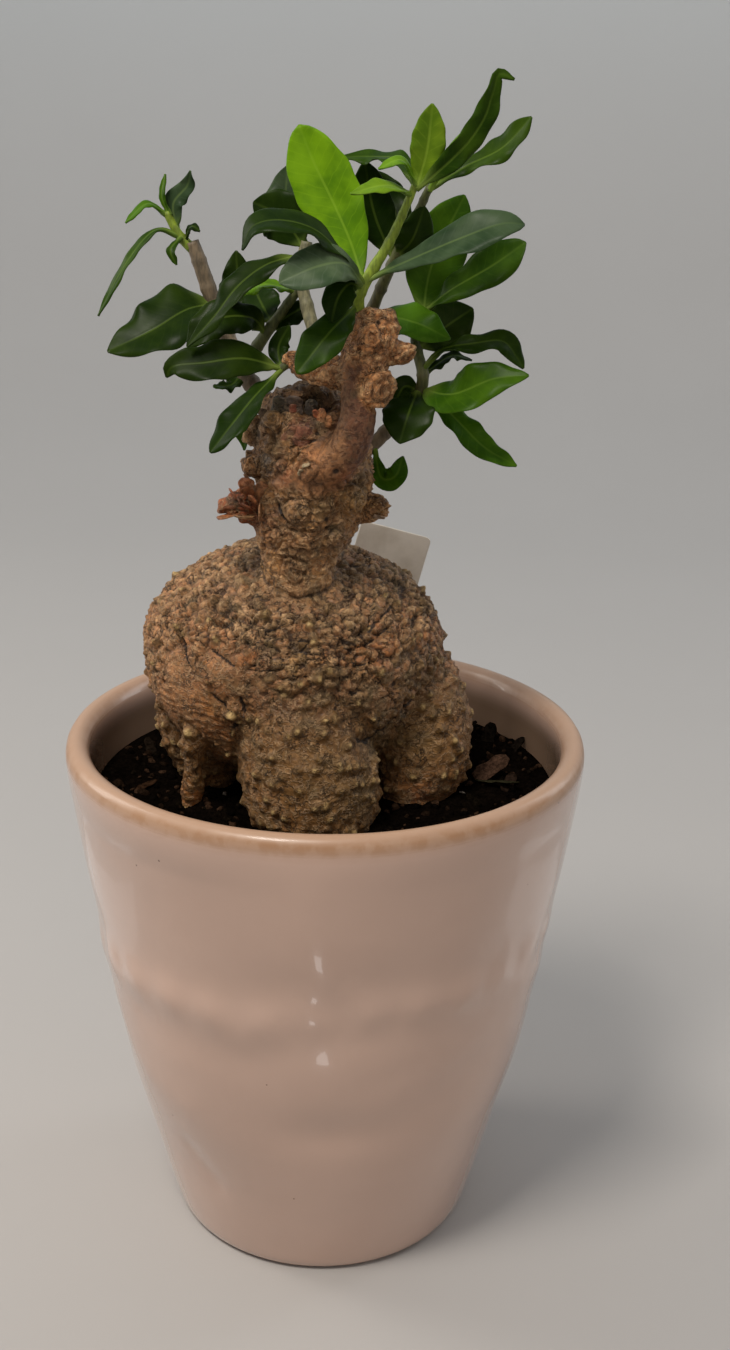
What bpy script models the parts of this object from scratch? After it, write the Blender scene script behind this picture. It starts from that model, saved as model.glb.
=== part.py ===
"""Potted fockea: a warty caudex with leafy sprigs, in soil, in a dented ceramic pot.

Sizes are in millimetres and are turned to metres when a mesh is made. The origin is
the middle of the pot's flat underside, +Z is up and the front of the plant faces -Y.
"""

import math
import random

import bmesh
import bpy
import numpy as np
from mathutils import Vector

MM = 0.001
GAP = 0.35
SEED = 7

# Pot
POT_SIDES = 32
POT_OUTER = ((46.0, 0.0), (48.6, 1.8), (51.3, 11.0), (55.0, 25.0), (59.6, 42.0), (64.6, 61.0),
             (68.6, 85.0), (71.8, 107.0), (74.9, 125.0), (77.4, 142.0), (79.2, 157.0), (78.8, 163.2),
             (76.0, 165.2), (73.0, 163.6), (71.8, 159.5))
POT_INNER = ((71.2, 150.0), (67.0, 118.0), (61.5, 84.0), (55.5, 52.0), (48.0, 22.0), (40.0, 10.0))
POT_FLOOR = 8.0
# Each dent: angle round the pot from the front, height, reach in degrees, reach in height, depth
POT_DENTS = ((-50, 128, 20, 30, 1.9), (50, 118, 15, 36, 2.1), (6, 112, 34, 13, 1.5),
             (10, 62, 28, 12, 1.3), (-44, 32, 20, 16, 1.3), (38, 80, 22, 16, 1.0),
             (118, 108, 24, 30, 1.8), (-126, 96, 28, 22, 1.6), (178, 62, 32, 18, 1.4),
             (168, 132, 24, 24, 1.3), (86, 46, 22, 18, 1.2), (-88, 66, 22, 20, 1.2))
DENT_FADE_LOW = 14.0
DENT_FADE_HIGH = (148.0, 160.0)

# Soil
SOIL_TOP = 147.2
SOIL_RINGS = 4
SOIL_CLUMP = 1.3
SOIL_DISH = 2.2
SOIL_EDGE_CLUMP = 0.4
HOLE_SIDES = 10
HOLE_MARGIN = 1.2
HOLE_BELOW = 4.0
HOLE_ABOVE = 6.0

# Globe of the caudex
GLOBE = (-10.0, 6.0, 190.0)
GLOBE_WIDE = 45.6
GLOBE_DEEP = 42.5
GLOBE_UP = 32.0
GLOBE_DOWN = 40.0
WARTS = 500
WART_PEAK = 1.2
WART_VARIETY = (0.5, 1.2)
WART_JITTER = 0.016
WART_VALLEY = -0.5
WART_LIMIT = -0.42
UNDERSIDE_LIMIT = -0.46
UNDERSIDE_POINTS = 40

# Lobes and feet: route points, each with the radius there
FRONT_FOOT = ((-8.5, -11, 198, 14), (-8, -17, 186, 19), (-7, -21, 174, 20.2), (-5, -23, 161, 20.6),
              (-3.5, -24, 151, 20), (-3, -24, 145, 17.5), (-3, -24, 138, 15))
RIGHT_FOOT = ((18, 4, 188, 14), (24, 2, 177, 17), (28.5, 0, 166, 16.5), (29, -2, 157, 15.5),
              (28, -3, 150, 13.8), (27, -3, 144, 11.5), (27, -3, 138, 9.5))
LEFT_FOOT = ((-33, 7, 186, 15), (-36.5, 7, 172, 16.6), (-37, 7, 160, 14.4), (-36, 7, 151, 11.4),
             (-35.5, 7, 145, 9.6), (-35.5, 7, 138, 8))
BACK_FOOT = ((0, 26, 182, 16), (2, 31, 170, 16.5), (3, 33, 158, 15), (3, 33, 149, 13),
             (3, 33, 144, 11), (3, 33, 138, 9.5))
ROOT_STUB = ((-38, -15, 178, 3.5), (-38.5, -18.5, 170, 4.2), (-39.4, -17.5, 162, 3.2),
             (-40, -16, 155, 2.9), (-40.5, -15, 149, 3.4), (-40.5, -15, 145, 3.0))
FOOT_SIDES = 12
STUB_SIDES = 8

# Neck, arm and cut ends
NECK = ((-8.5, -12, 204, 11.6), (-8.5, -12, 215, 11.5), (-8.6, -12, 224, 11.4), (-7.4, -11, 231, 14.6),
        (-6, -10, 239, 15.6), (-4.2, -10, 247, 16.4), (-5, -10, 255, 16.6), (-7, -9, 262, 14.8),
        (-8.5, -8, 267, 11))
NECK_HOLLOW = ((-9, -9, 268.5, 5.0), (-8.5, -9, 262.5, 3.6))
ARM = ((-9, -17, 247, 6.8), (-1, -22, 251.5, 6.9), (4.8, -25, 257, 6.5), (7.8, -25, 264, 6.1),
       (8.4, -24, 271, 5.7), (9, -22.5, 278, 6.4), (10.6, -21, 285, 7.1), (11.6, -20, 290, 7.3),
       (11.8, -19.5, 294.5, 5.6))
ARM_KNOB = ((9, -21, 276, 4.6), (12.2, -25, 275, 5.2), (14.4, -28.6, 274.3, 5.0))
ARM_SCAR = ((10.6, -22, 287.6, 3.8), (10.4, -28.4, 287.8, 3.4))
ARM_RIGHT_BUMP = ((13, -20, 284, 4.6), (19.5, -19.5, 283, 3.4), (22, -19, 283.5, 2.2))
LEFT_KNOB = ((8, -22, 277, 4.6), (1.5, -19.5, 276.6, 4.6), (-4.4, -18, 277.4, 4.2), (-8.2, -16.8, 279, 3.1),
             (-11, -16, 280.4, 2.2))
LEFT_STUB = ((-15, -11, 237, 6.4), (-22, -13, 238.2, 5.4), (-26, -14, 239, 4.2), (-30, -15, 238, 2.0))
LEFT_TWIG = ((-22, -12, 240, 1.4), (-24.6, -13, 245.4, 0.8))
RIGHT_STUB = ((6, -10, 237, 5.4), (12, -10.5, 237.6, 4.2), (16.4, -11, 237.6, 2.8))
NECK_BUMPS = ((-20.6, -12, 250, 4.2), (-20.6, -10, 259.4, 4.4), (-14.8, -18.5, 262, 4.0),
              (8.6, -13, 246, 4.6), (3.5, -12, 262, 4.2), (-15.8, -7.5, 266.4, 3.4), (-6.5, -20, 233.5, 4.4),
              (-12, -4, 267.2, 3.4), (-2.6, -4.4, 265.6, 3.6))
NECK_BUMP_VARIETY = (0.88, 1.1)
WOOD_SIDES = 9
NECK_SIDES = 13
SOCKET_REACH = 9.0
SOCKET_SIDES = 9
STEM_SIDES = 7
STEM_SPACING = 5.0

# Blades
BLADE_THICK = 0.75
PETIOLE_THICK = 1.5
PETIOLE_HALF = 0.85
TIP_HALF = 0.45
STALK_SHARE = 0.05
BLADE_FULLNESS = 0.75
BLADE_FOLD = 0.2
BLADE_WAVE = 0.5
BLADE_WAVES = 2.5
STALK_TAPER = 0.25
LONG_ROWS = 7
SHORT_ROWS = 6
WIDE_ACROSS = 5
NARROW_ACROSS = 3
LONG_BLADE = 24.0
WIDE_BLADE = 8.5

# Label
LABEL_TOP_LEFT = (11.0, 53.0, 217.0)
LABEL_WIDE = 24.0
LABEL_LONG = 84.0
LABEL_THICK = 0.9
LABEL_LEAN = math.radians(14.5)

COLOURS = {
    "pot": ((0.78, 0.70, 0.62, 1.0), 0.18),
    "soil": ((0.03, 0.022, 0.017, 1.0), 0.95),
    "caudex": ((0.27, 0.20, 0.12, 1.0), 0.85),
    "foliage": ((0.05, 0.14, 0.025, 1.0), 0.42),
    "label": ((0.62, 0.60, 0.58, 1.0), 0.6),
}


class Stem:
    """A round stem: its route points, the radius at its foot and the radius at its end."""

    def __init__(self, points, foot, end):
        self.points = points
        self.foot = foot
        self.end = end


class Leaf:
    """A blade: its route from the stem's middle to the tip, its width, the way it faces, and
    the share of its length at which it is widest."""

    def __init__(self, points, width, face, widest=0.52):
        self.points = points
        self.width = width
        self.face = face
        self.widest = widest


SPRIGS = {
    # Woody stem that forks into the far left shoot and the green middle stem
    "sprig_left": (
        [Stem(((-15.5, -2, 262.5), (-19, 0.5, 267), (-24, 3, 272.5), (-28, 6, 280), (-31, 8, 286),
               (-34, 8, 294.5), (-36.5, 8, 302), (-39, 8, 309)), 3.0, 2.6),
         Stem(((-39, 8, 307), (-42, 8, 310), (-44, 8, 313), (-46, 8, 317)), 1.6, 1.0),
         Stem(((-24.5, 3.5, 273), (-22, -1, 279), (-18, -3, 285), (-13, -4, 292), (-8.5, -4, 298)), 2.0, 1.3)],
        [Leaf(((-42, 8, 310), (-49, 5, 312), (-57, 2, 303), (-65, 0, 289)), 4.5, (-0.6, -0.5, 0.6)),
         Leaf(((-46, 8, 316), (-51, 6, 319), (-57, 4, 314)), 4, (-0.2, -0.4, 0.9)),
         Leaf(((-45, 8, 316), (-47, 8, 321), (-46, 8, 327)), 2.6, (-0.7, -0.7, 0)),
         Leaf(((-43, 8, 312), (-44, 9, 319), (-40, 9, 324), (-39, 7, 328)), 6, (-0.3, -0.9, 0.1), 0.42),
         Leaf(((-41, 8, 309), (-39, 6, 313), (-36.5, 5, 312)), 3.5, (0, -0.5, 0.85)),
         Leaf(((-42, 7, 310), (-44.5, 4, 307), (-43, 3, 303)), 3.2, (-0.6, -0.8, 0.1)),
         Leaf(((-32, 8, 291.5), (-40, 1, 291), (-50, -4, 285.5), (-62, -6, 280)), 18,
              (-0.3, -0.75, 0.6), 0.33),
         Leaf(((-31, 8, 287), (-27, 13, 297), (-27, 15, 306)), 9, (-0.1, -0.95, 0.2)),
         Leaf(((-25, 3, 273), (-28, 0, 270), (-33, -2, 270)), 6, (0, -0.3, 0.95)),
         Leaf(((-18, -3, 285), (-22, -7, 290), (-31, -12, 290), (-39, -15, 283)), 12, (-0.1, -0.8, 0.6)),
         Leaf(((-9.5, -4, 297), (-19, -7, 299), (-29, -9, 295)), 9, (0, -0.25, 0.97)),
         Leaf(((-16, -3, 288), (-19, 3, 292), (-22, 9, 297)), 11, (0, -0.95, 0.3)),
         Leaf(((-17, -3, 286), (-12, -4, 290), (-5, -4, 294)), 7.5, (-0.2, -0.8, 0.55)),
         Leaf(((-19.5, 1, 267.5), (-25, 8, 261), (-25, 11, 249)), 7, (-0.5, -0.8, 0.3))]),
    # Pale woody branch on the left knob, with the long light leaf
    "sprig_centre": (
        [Stem(((-2.2, -18, 277.5), (-3.6, -14.6, 285), (-6, -11.5, 293), (-8, -9.5, 302), (-6.5, -9, 311)),
              2.2, 1.8)],
        [Leaf(((-7.5, -10, 307), (-16.5, -15.5, 305.5), (-24.5, -19.5, 300), (-31, -22, 292),
               (-38, -24, 284.5)), 9.5, (-0.4, -0.6, 0.7), 0.42),
         Leaf(((-7, -9, 309), (-13, -8, 317), (-21, -8, 321)), 14, (-0.3, -0.9, 0.25)),
         Leaf(((-6.5, -9, 310), (-12, -1, 319), (-12, 3, 330)), 12, (-0.2, -0.95, 0.2))]),
    # Yellow-green shoot on the arm's head, with the tall bright leaf
    "sprig_front": (
        [Stem(((9, -20, 289.5), (7.4, -22.6, 296), (9.2, -25, 302), (15.5, -26, 313), (20.5, -26, 324),
               (22, -26.5, 328)), 2.0, 1.2)],
        [Leaf(((7, -22.5, 295.5), (0, -33, 290), (-8.5, -38, 280)), 10, (-0.3, -0.9, 0.3)),
         Leaf(((9, -25, 301.5), (5.5, -21, 311.5), (1, -17, 321), (-4.5, -14, 331.5), (-8, -12, 341)), 19,
              (-0.1, -0.95, 0.3), 0.56),
         Leaf(((9, -25.5, 302), (3, -31, 309.5), (-4, -35, 316), (-12.5, -38, 318.5), (-19.5, -38, 317),
               (-22.5, -36, 311)), 12, (0, -0.45, 0.9), 0.6),
         Leaf(((8.5, -25, 301), (4, -34, 307.5), (-3, -39, 307.5), (-13, -41, 303.5)), 9, (0, -0.6, 0.8), 0.6),
         Leaf(((9.2, -25.5, 302.5), (18, -28, 307), (32, -31, 313.5), (43.5, -33, 318), (49.8, -33, 318)), 12.5,
              (0.1, -0.65, 0.75), 0.68),
         Leaf(((22, -26.5, 326), (24.5, -27, 336), (25.5, -27, 347)), 9, (0, -1, 0.2)),
         Leaf(((22, -26.5, 327), (18, -29, 333), (12, -30, 331)), 5, (0, -0.4, 0.9)),
         Leaf(((22, -26, 326.5), (18, -17, 332.5), (10, -9, 333), (1, -7, 332.5)), 7, (0, -0.5, 0.85)),
         Leaf(((22, -26.5, 326), (29, -28, 332), (34.5, -28, 337.5), (38.5, -28, 343.5), (41.5, -28, 349.5),
               (44.5, -28, 355)), 7.5, (0.5, -0.8, 0.3), 0.46),
         Leaf(((21, -26, 324.5), (14, -31, 327), (5, -33, 325)), 6, (0, -0.5, 0.85))]),
    # Stem behind the arm, with the dark leaves of the crown's back
    "sprig_back": (
        [Stem(((-1, -5, 262), (3, -1, 268), (8, 3, 279), (12, 2, 292), (18, -4, 307), (23, -10, 318),
               (26, -16, 326)), 2.3, 1.1)],
        [Leaf(((25.5, -15, 325), (35.5, -13, 331), (45, -15, 336), (52, -18, 344)), 9, (0.2, -0.55, 0.8), 0.66),
         Leaf(((26, -16, 325), (30, -18, 333), (34, -18, 340)), 3.5, (0.6, -0.8, 0)),
         Leaf(((17.5, -3.5, 306), (12, -4, 318), (9, -4, 332)), 12, (-0.3, -0.9, 0.2)),
         Leaf(((20, -6, 311), (17, 2, 320), (12, 5, 329)), 10, (0, -0.95, 0.2)),
         Leaf(((18, -4, 307), (22, -10, 312), (25, -13, 321)), 10, (0.3, -0.9, 0.2)),
         Leaf(((17, -3, 304), (25, 4, 310), (30, 6, 316)), 10, (0.3, -0.9, 0.2)),
         Leaf(((12, 2, 290), (18, -6, 290.5), (25, -13, 289.5), (33, -15, 286)), 13, (0.2, -0.8, 0.55), 0.45)]),
    # Pale stem on the neck's right side, with the large right-hand leaves
    "sprig_right": (
        [Stem(((7.5, -4, 250.5), (13, -3, 254.5), (19, -4, 261), (25, -8, 269), (26, -10, 276),
               (24, -6, 284), (25.5, -4, 292)), 2.3, 1.4)],
        [Leaf(((25.5, -4, 290), (28.5, 1, 305), (37, 4, 323)), 17, (0.2, -0.95, 0.2)),
         Leaf(((25.5, -4.5, 291), (32.5, -12, 298.5), (43.5, -17, 306), (52, -19, 312.5)), 13,
              (0.2, -0.65, 0.7), 0.66),
         Leaf(((24.5, -7, 282), (32.5, -4, 288), (40, -3, 293)), 14, (0.2, -0.9, 0.4)),
         Leaf(((26, -10, 277), (31, -14, 283), (39, -16, 285), (47, -17, 286), (51, -18, 282),
               (53, -19, 279)), 8, (0.1, -0.6, 0.8), 0.68),
         Leaf(((26, -9, 275), (34, -6, 280), (40, -6, 279)), 4.5, (0, -0.3, 0.95)),
         Leaf(((25.7, -9, 271), (34, -18, 271.5), (44.5, -22, 276.5), (54, -24, 278)), 13.5,
              (0.1, -0.75, 0.65), 0.42),
         Leaf(((25, -8, 270), (33, -9, 265.5), (43.5, -13, 256), (53, -15, 251)), 8.5, (0.3, -0.8, 0.5)),
         Leaf(((25, -9, 271), (22, -18, 266), (19.5, -22, 258.5)), 15, (-0.3, -0.9, 0.2)),
         Leaf(((25, -8, 271), (21, -10, 272), (18, -12, 267)), 7, (-0.4, -0.9, 0.1)),
         Leaf(((13, -3.5, 254), (15, -9, 246), (19, -12, 247), (21, -13, 253)), 6.5, (0, -0.9, 0.4), 0.62)]),
    # Short twig on the end of the left knob, with the two long dark leaves
    "sprig_low": (
        [Stem(((-8.6, -16.6, 279.4), (-11.5, -16.4, 279), (-14, -16.6, 277)), 1.2, 1.1)],
        [Leaf(((-13, -16.6, 277.6), (-23, -21, 281), (-34, -23, 280), (-42, -23, 279), (-44, -23, 276)), 12,
              (0, -0.8, 0.6)),
         Leaf(((-13, -16.6, 277.6), (-20, -25, 271.5), (-26, -28, 264.5), (-32, -30, 257)), 10,
              (-0.6, -0.7, 0.4), 0.58),
         Leaf(((-13, -16.6, 277.4), (-14, -13, 283), (-11, -13, 289)), 6, (-0.3, -0.9, 0.2))]),
}


def clear_scene():
    """Remove every object, so that the script can run in an open file."""
    for item in list(bpy.data.objects):
        bpy.data.objects.remove(item, do_unlink=True)


def make_material(name):
    """A Principled material with the colour and roughness kept under this name."""
    colour, roughness = COLOURS[name]
    material = bpy.data.materials.new(name)
    material.use_nodes = True
    shader = material.node_tree.nodes["Principled BSDF"]
    shader.inputs["Base Color"].default_value = colour
    shader.inputs["Roughness"].default_value = roughness
    shader.inputs["Metallic"].default_value = 0.0
    material.diffuse_color = colour
    return material


def make_object(name, points, faces):
    """A mesh object from points in millimetres, with its faces turned outwards."""
    mesh = bpy.data.meshes.new(name)
    mesh.from_pydata([tuple(float(c) * MM for c in p) for p in points], [], faces)
    shape = bmesh.new()
    shape.from_mesh(mesh)
    bmesh.ops.recalc_face_normals(shape, faces=shape.faces)
    bmesh.ops.triangulate(shape, faces=shape.faces)
    shape.to_mesh(mesh)
    shape.free()
    item = bpy.data.objects.new(name, mesh)
    bpy.context.scene.collection.objects.link(item)
    return item


def apply_modifiers(item):
    """Replace an object's mesh by its evaluated mesh."""
    graph = bpy.context.evaluated_depsgraph_get()
    mesh = bpy.data.meshes.new_from_object(item.evaluated_get(graph))
    item.modifiers.clear()
    item.data = mesh


def combine(item, others, operation, solver="EXACT"):
    """Join the others to an object, or cut them from it, in one Boolean, and remove them."""
    tools = bpy.data.collections.new(item.name + "_tools")
    bpy.context.scene.collection.children.link(tools)
    for other in others:
        tools.objects.link(other)
        bpy.context.scene.collection.objects.unlink(other)
    boolean = item.modifiers.new(operation.lower(), "BOOLEAN")
    boolean.operation = operation
    boolean.operand_type = "COLLECTION"
    boolean.collection = tools
    boolean.solver = solver
    apply_modifiers(item)
    for other in others:
        bpy.data.objects.remove(other, do_unlink=True)
    bpy.data.collections.remove(tools)


def keep_largest_body(item):
    """Drop loose scraps and fill sealed hollows: only the largest connected shell stays."""
    shape = bmesh.new()
    shape.from_mesh(item.data)
    unseen = set(shape.verts)
    bodies = []
    while unseen:
        body = {unseen.pop()}
        edge_of_search = set(body)
        while edge_of_search:
            reached = {e.other_vert(v) for v in edge_of_search for e in v.link_edges}
            edge_of_search = reached - body
            body |= edge_of_search
        unseen -= body
        bodies.append(body)
    bodies.sort(key=len)
    for body in bodies[:-1]:
        bmesh.ops.delete(shape, geom=list(body), context="VERTS")
    bmesh.ops.triangulate(shape, faces=shape.faces)
    shape.to_mesh(item.data)
    shape.free()


def smooth_route(points, steps):
    """Points along a smooth curve through the given points (Catmull-Rom), steps to a span."""
    p = np.asarray(points, float)
    p = np.vstack([2 * p[0] - p[1], p, 2 * p[-1] - p[-2]])
    spans = []
    for i in range(1, len(p) - 2):
        t = np.arange(steps)[:, None] / steps
        a, b, c, d = p[i - 1], p[i], p[i + 1], p[i + 2]
        spans.append(0.5 * (2 * b + (c - a) * t + (2 * a - 5 * b + 4 * c - d) * t**2
                            + (3 * b - a - 3 * c + d) * t**3))
    return np.vstack(spans + [p[-2][None]])


def along(route, count):
    """The same route read at a number of even steps of its length."""
    length = np.concatenate([[0], np.cumsum(np.linalg.norm(np.diff(route[:, :3], axis=0), axis=1))])
    wanted = np.linspace(0, length[-1], count)
    return np.column_stack([np.interp(wanted, length, route[:, k]) for k in range(route.shape[1])])


def unit(v):
    """Vectors of length one, row by row."""
    return v / np.linalg.norm(v, axis=-1, keepdims=True)


def ring_tube(name, rings, sides, relief=0.0, seed=SEED):
    """A closed tube through rings (x, y, z, radius), with a seeded rough surface."""
    rings = np.asarray(rings, float)
    chance = random.Random(seed)
    centre = rings[:, :3]
    tangent = unit(np.gradient(centre, axis=0))
    side = np.cross(tangent[0], (0.31, 0.95, 0.1))
    points = []
    for row, ring in enumerate(rings):
        side = side - tangent[row] * np.dot(side, tangent[row])
        side = side / np.linalg.norm(side)
        other = np.cross(tangent[row], side)
        for k in range(sides):
            angle = 2 * math.pi * (k + 0.5 * (row % 2)) / sides
            reach = ring[3] + relief * chance.uniform(-1, 1)
            points.append(centre[row] + reach * (math.cos(angle) * side + math.sin(angle) * other))
    faces = []
    for row in range(len(rings) - 1):
        for k in range(sides):
            a = row * sides + k
            b = row * sides + (k + 1) % sides
            shift = 0 if row % 2 == 0 else sides
            c, d = a + sides, b + sides
            faces += [(a, b, c), (b, d, c)] if shift == 0 else [(a, b, d), (a, d, c)]
    first, last = len(points), len(points) + 1
    points += [centre[0], centre[-1]]
    top = (len(rings) - 1) * sides
    for k in range(sides):
        faces.append((first, (k + 1) % sides, k))
        faces.append((last, top + k, top + (k + 1) % sides))
    return make_object(name, points, faces)


def wood(name, points, sides, spacing, relief, seed):
    """A woody limb through points that each carry their radius."""
    route = smooth_route(points, 6)
    length = np.linalg.norm(np.diff(route[:, :3], axis=0), axis=1).sum()
    rings = along(route, max(3, round(length / spacing) + 1))
    return ring_tube(name, rings, sides, relief, seed)


def blade_half_width(t, leaf):
    """Half the blade's width: a thin stalk, then a sine bulge that peaks where the leaf is widest."""
    past_stalk = np.clip((t - STALK_SHARE) / (1 - STALK_SHARE), 0, 1)
    body = np.sin(math.pi * past_stalk ** (math.log(0.5) / math.log(leaf.widest))) ** BLADE_FULLNESS
    return np.maximum(0.5 * leaf.width * body, np.where(t < 0.5, PETIOLE_HALF, TIP_HALF))


def blade(name, leaf):
    """A leaf as a closed solid, the same grid of triangles on both of its faces."""
    route = smooth_route(leaf.points, 8)
    length = np.linalg.norm(np.diff(route, axis=0), axis=1).sum()
    rows = LONG_ROWS if length > LONG_BLADE else SHORT_ROWS
    across = WIDE_ACROSS if leaf.width > WIDE_BLADE else NARROW_ACROSS
    middle = along(route, rows)
    t = np.linspace(0, 1, rows)
    tangent = unit(np.gradient(middle, axis=0))
    side = unit(np.cross(tangent, np.asarray(leaf.face, float)))
    normal = np.cross(side, tangent)
    half = blade_half_width(t, leaf)
    thick = BLADE_THICK + (PETIOLE_THICK - BLADE_THICK) * np.clip(1 - t / STALK_TAPER, 0, 1)
    v = np.linspace(-1, 1, across)
    lift = BLADE_FOLD * np.abs(v)[None] * half[:, None]
    wave = np.sin(2 * math.pi * BLADE_WAVES * t[:, None] + v[None]) * np.sin(math.pi * t)[:, None]
    lift = lift + BLADE_WAVE * v[None]**2 * wave
    sheet = middle[:, None] + side[:, None] * (half[:, None] * v)[..., None] + normal[:, None] * lift[..., None]
    offset = normal[:, None] * (0.5 * thick)[:, None, None]
    points = np.concatenate([(sheet + offset).reshape(-1, 3), (sheet - offset).reshape(-1, 3)])
    under = rows * across
    faces = []
    for i in range(rows - 1):
        for j in range(across - 1):
            a = i * across + j
            b, c, d = a + 1, a + across, a + across + 1
            pair = [(a, b, d), (a, d, c)] if j < across // 2 else [(a, b, c), (b, d, c)]
            faces += pair + [tuple(under + k for k in reversed(f)) for f in pair]
    edge = ([j for j in range(across)] + [i * across + across - 1 for i in range(1, rows)]
            + [(rows - 1) * across + j for j in range(across - 2, -1, -1)]
            + [i * across for i in range(rows - 2, 0, -1)])
    for a, b in zip(edge, edge[1:] + edge[:1]):
        faces += [(a, b, under + b), (a, under + b, under + a)]
    return make_object(name, points, faces)


def stem_rings(stem):
    """Rings along a stem, with its radius shrinking evenly from foot to end."""
    route = smooth_route(stem.points, 6)
    length = np.linalg.norm(np.diff(route, axis=0), axis=1).sum()
    middle = along(route, max(3, round(length / STEM_SPACING) + 1))
    radius = np.linspace(stem.foot, stem.end, len(middle))
    return np.column_stack([middle, radius])


def make_sprig(name):
    """One leafy stem: its stems and all of its blades joined in a single solid."""
    stems, leaves = SPRIGS[name]
    pieces = [ring_tube(f"{name}_stem_{k}", stem_rings(stem), STEM_SIDES) for k, stem in enumerate(stems)]
    pieces += [blade(f"{name}_leaf_{k}", leaf) for k, leaf in enumerate(leaves)]
    sprig = pieces[0]
    sprig.name = name
    combine(sprig, pieces[1:], "UNION")
    keep_largest_body(sprig)
    return sprig


def globe_reach(direction):
    """Distance from the globe's middle to its skin, before warts, in one direction."""
    x, y, z = direction
    tall = GLOBE_UP if z > 0 else GLOBE_DOWN
    return 1 / math.sqrt((x / GLOBE_WIDE)**2 + (y / GLOBE_DEEP)**2 + (z / tall)**2)


def globe_directions():
    """Even spirals of directions: a dense one for the warts and a loose one for the underside."""
    chance = random.Random(SEED)
    golden = math.pi * (3 - math.sqrt(5))
    found = []
    for count, low, high in ((WARTS, WART_LIMIT, 1.0), (UNDERSIDE_POINTS, -1.0, UNDERSIDE_LIMIT)):
        for k in range(count):
            z = low + (high - low) * (k + 0.5) / count
            flat = math.sqrt(1 - z * z)
            jitter = Vector([chance.gauss(0, WART_JITTER) for _ in range(3)])
            turn = golden * k
            found.append((Vector((flat * math.cos(turn), flat * math.sin(turn), z)) + jitter).normalized())
    return found


def make_globe():
    """The warty globe: a peak at each direction and a valley in the middle of each triangle."""
    shape = bmesh.new()
    for direction in globe_directions():
        shape.verts.new(direction)
    bmesh.ops.convex_hull(shape, input=shape.verts)
    shape.verts.ensure_lookup_table()
    directions = [v.co.copy() for v in shape.verts]
    triangles = [tuple(v.index for v in f.verts) for f in shape.faces]
    shape.free()
    chance = random.Random(SEED + 1)
    middle = Vector(GLOBE)
    points = []
    for direction in directions:
        peak = WART_PEAK * chance.uniform(*WART_VARIETY) if direction.z > WART_LIMIT else 0
        points.append(middle + direction * (globe_reach(direction) + peak))
    faces = []
    for a, b, c in triangles:
        direction = (directions[a] + directions[b] + directions[c]).normalized()
        if direction.z < WART_LIMIT:
            faces.append((a, b, c))
            continue
        valley = len(points)
        points.append(middle + direction * (globe_reach(direction) + WART_VALLEY))
        faces += [(a, b, valley), (b, c, valley), (c, a, valley)]
    return make_object("caudex", points, faces)


def make_bump(name, bump, seed):
    """A rough round knob of bark."""
    x, y, z, radius = bump
    chance = random.Random(seed)
    shape = bmesh.new()
    bmesh.ops.create_icosphere(shape, subdivisions=2, radius=1.0)
    points = [Vector((x, y, z)) + v.co * radius * chance.uniform(*NECK_BUMP_VARIETY) for v in shape.verts]
    faces = [tuple(v.index for v in f.verts) for f in shape.faces]
    shape.free()
    return make_object(name, points, faces)


def socket(name, stem):
    """A plain round hole for a stem's foot, a little wider and deeper than the foot."""
    foot = Vector(stem.points[0])
    way = (Vector(stem.points[1]) - foot).normalized()
    start = foot - way * GAP
    end = foot + way * SOCKET_REACH
    radius = stem.foot + GAP
    return ring_tube(name, [(*start, radius), (*((start + end) / 2), radius), (*end, radius)], SOCKET_SIDES)


def make_caudex():
    """The whole grown body: globe, feet, neck, arm, knobs and broken stubs, as one solid."""
    caudex = make_globe()
    limbs = [("front_foot", FRONT_FOOT, FOOT_SIDES, 7, 0.6), ("right_foot", RIGHT_FOOT, FOOT_SIDES, 7, 0.7),
             ("left_foot", LEFT_FOOT, FOOT_SIDES, 8, 0.5), ("back_foot", BACK_FOOT, FOOT_SIDES, 9, 0.5),
             ("root_stub", ROOT_STUB, STUB_SIDES, 4, 0.35), ("neck", NECK, NECK_SIDES, 5, 1.1),
             ("arm", ARM, WOOD_SIDES, 4, 0.35), ("arm_knob", ARM_KNOB, WOOD_SIDES, 3, 0.3),
             ("arm_scar", ARM_SCAR, WOOD_SIDES, 4, 0.15), ("arm_bump", ARM_RIGHT_BUMP, STUB_SIDES, 3, 0.35),
             ("left_knob", LEFT_KNOB, WOOD_SIDES, 3.5, 0.4), ("left_stub", LEFT_STUB, WOOD_SIDES, 3.5, 0.8),
             ("left_twig", LEFT_TWIG, 6, 3, 0.1), ("right_stub", RIGHT_STUB, WOOD_SIDES, 3.5, 0.5)]
    pieces = [wood(name, points, sides, spacing, relief, SEED + k)
              for k, (name, points, sides, spacing, relief) in enumerate(limbs)]
    pieces += [make_bump(f"neck_bump_{k}", bump, SEED + k) for k, bump in enumerate(NECK_BUMPS)]
    combine(caudex, pieces, "UNION")
    holes = [socket(f"socket_{name}", stems[0]) for name, (stems, _) in SPRIGS.items()]
    holes.append(ring_tube("neck_hollow", NECK_HOLLOW, 9, 0.4))
    combine(caudex, holes, "DIFFERENCE")
    keep_largest_body(caudex)
    return caudex


def dent(angle, height):
    """How far the outside is pressed in at an angle in degrees from the front, and a height."""
    total = 0.0
    for at, level, reach, tall, depth in POT_DENTS:
        turn = (angle - at + 180) % 360 - 180
        total += depth * math.exp(-(turn / reach)**2 - ((height - level) / tall)**2)
    low = min(1.0, height / DENT_FADE_LOW)
    start, end = DENT_FADE_HIGH
    high = min(1.0, max(0.0, (end - height) / (end - start)))
    return total * low * high


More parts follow.
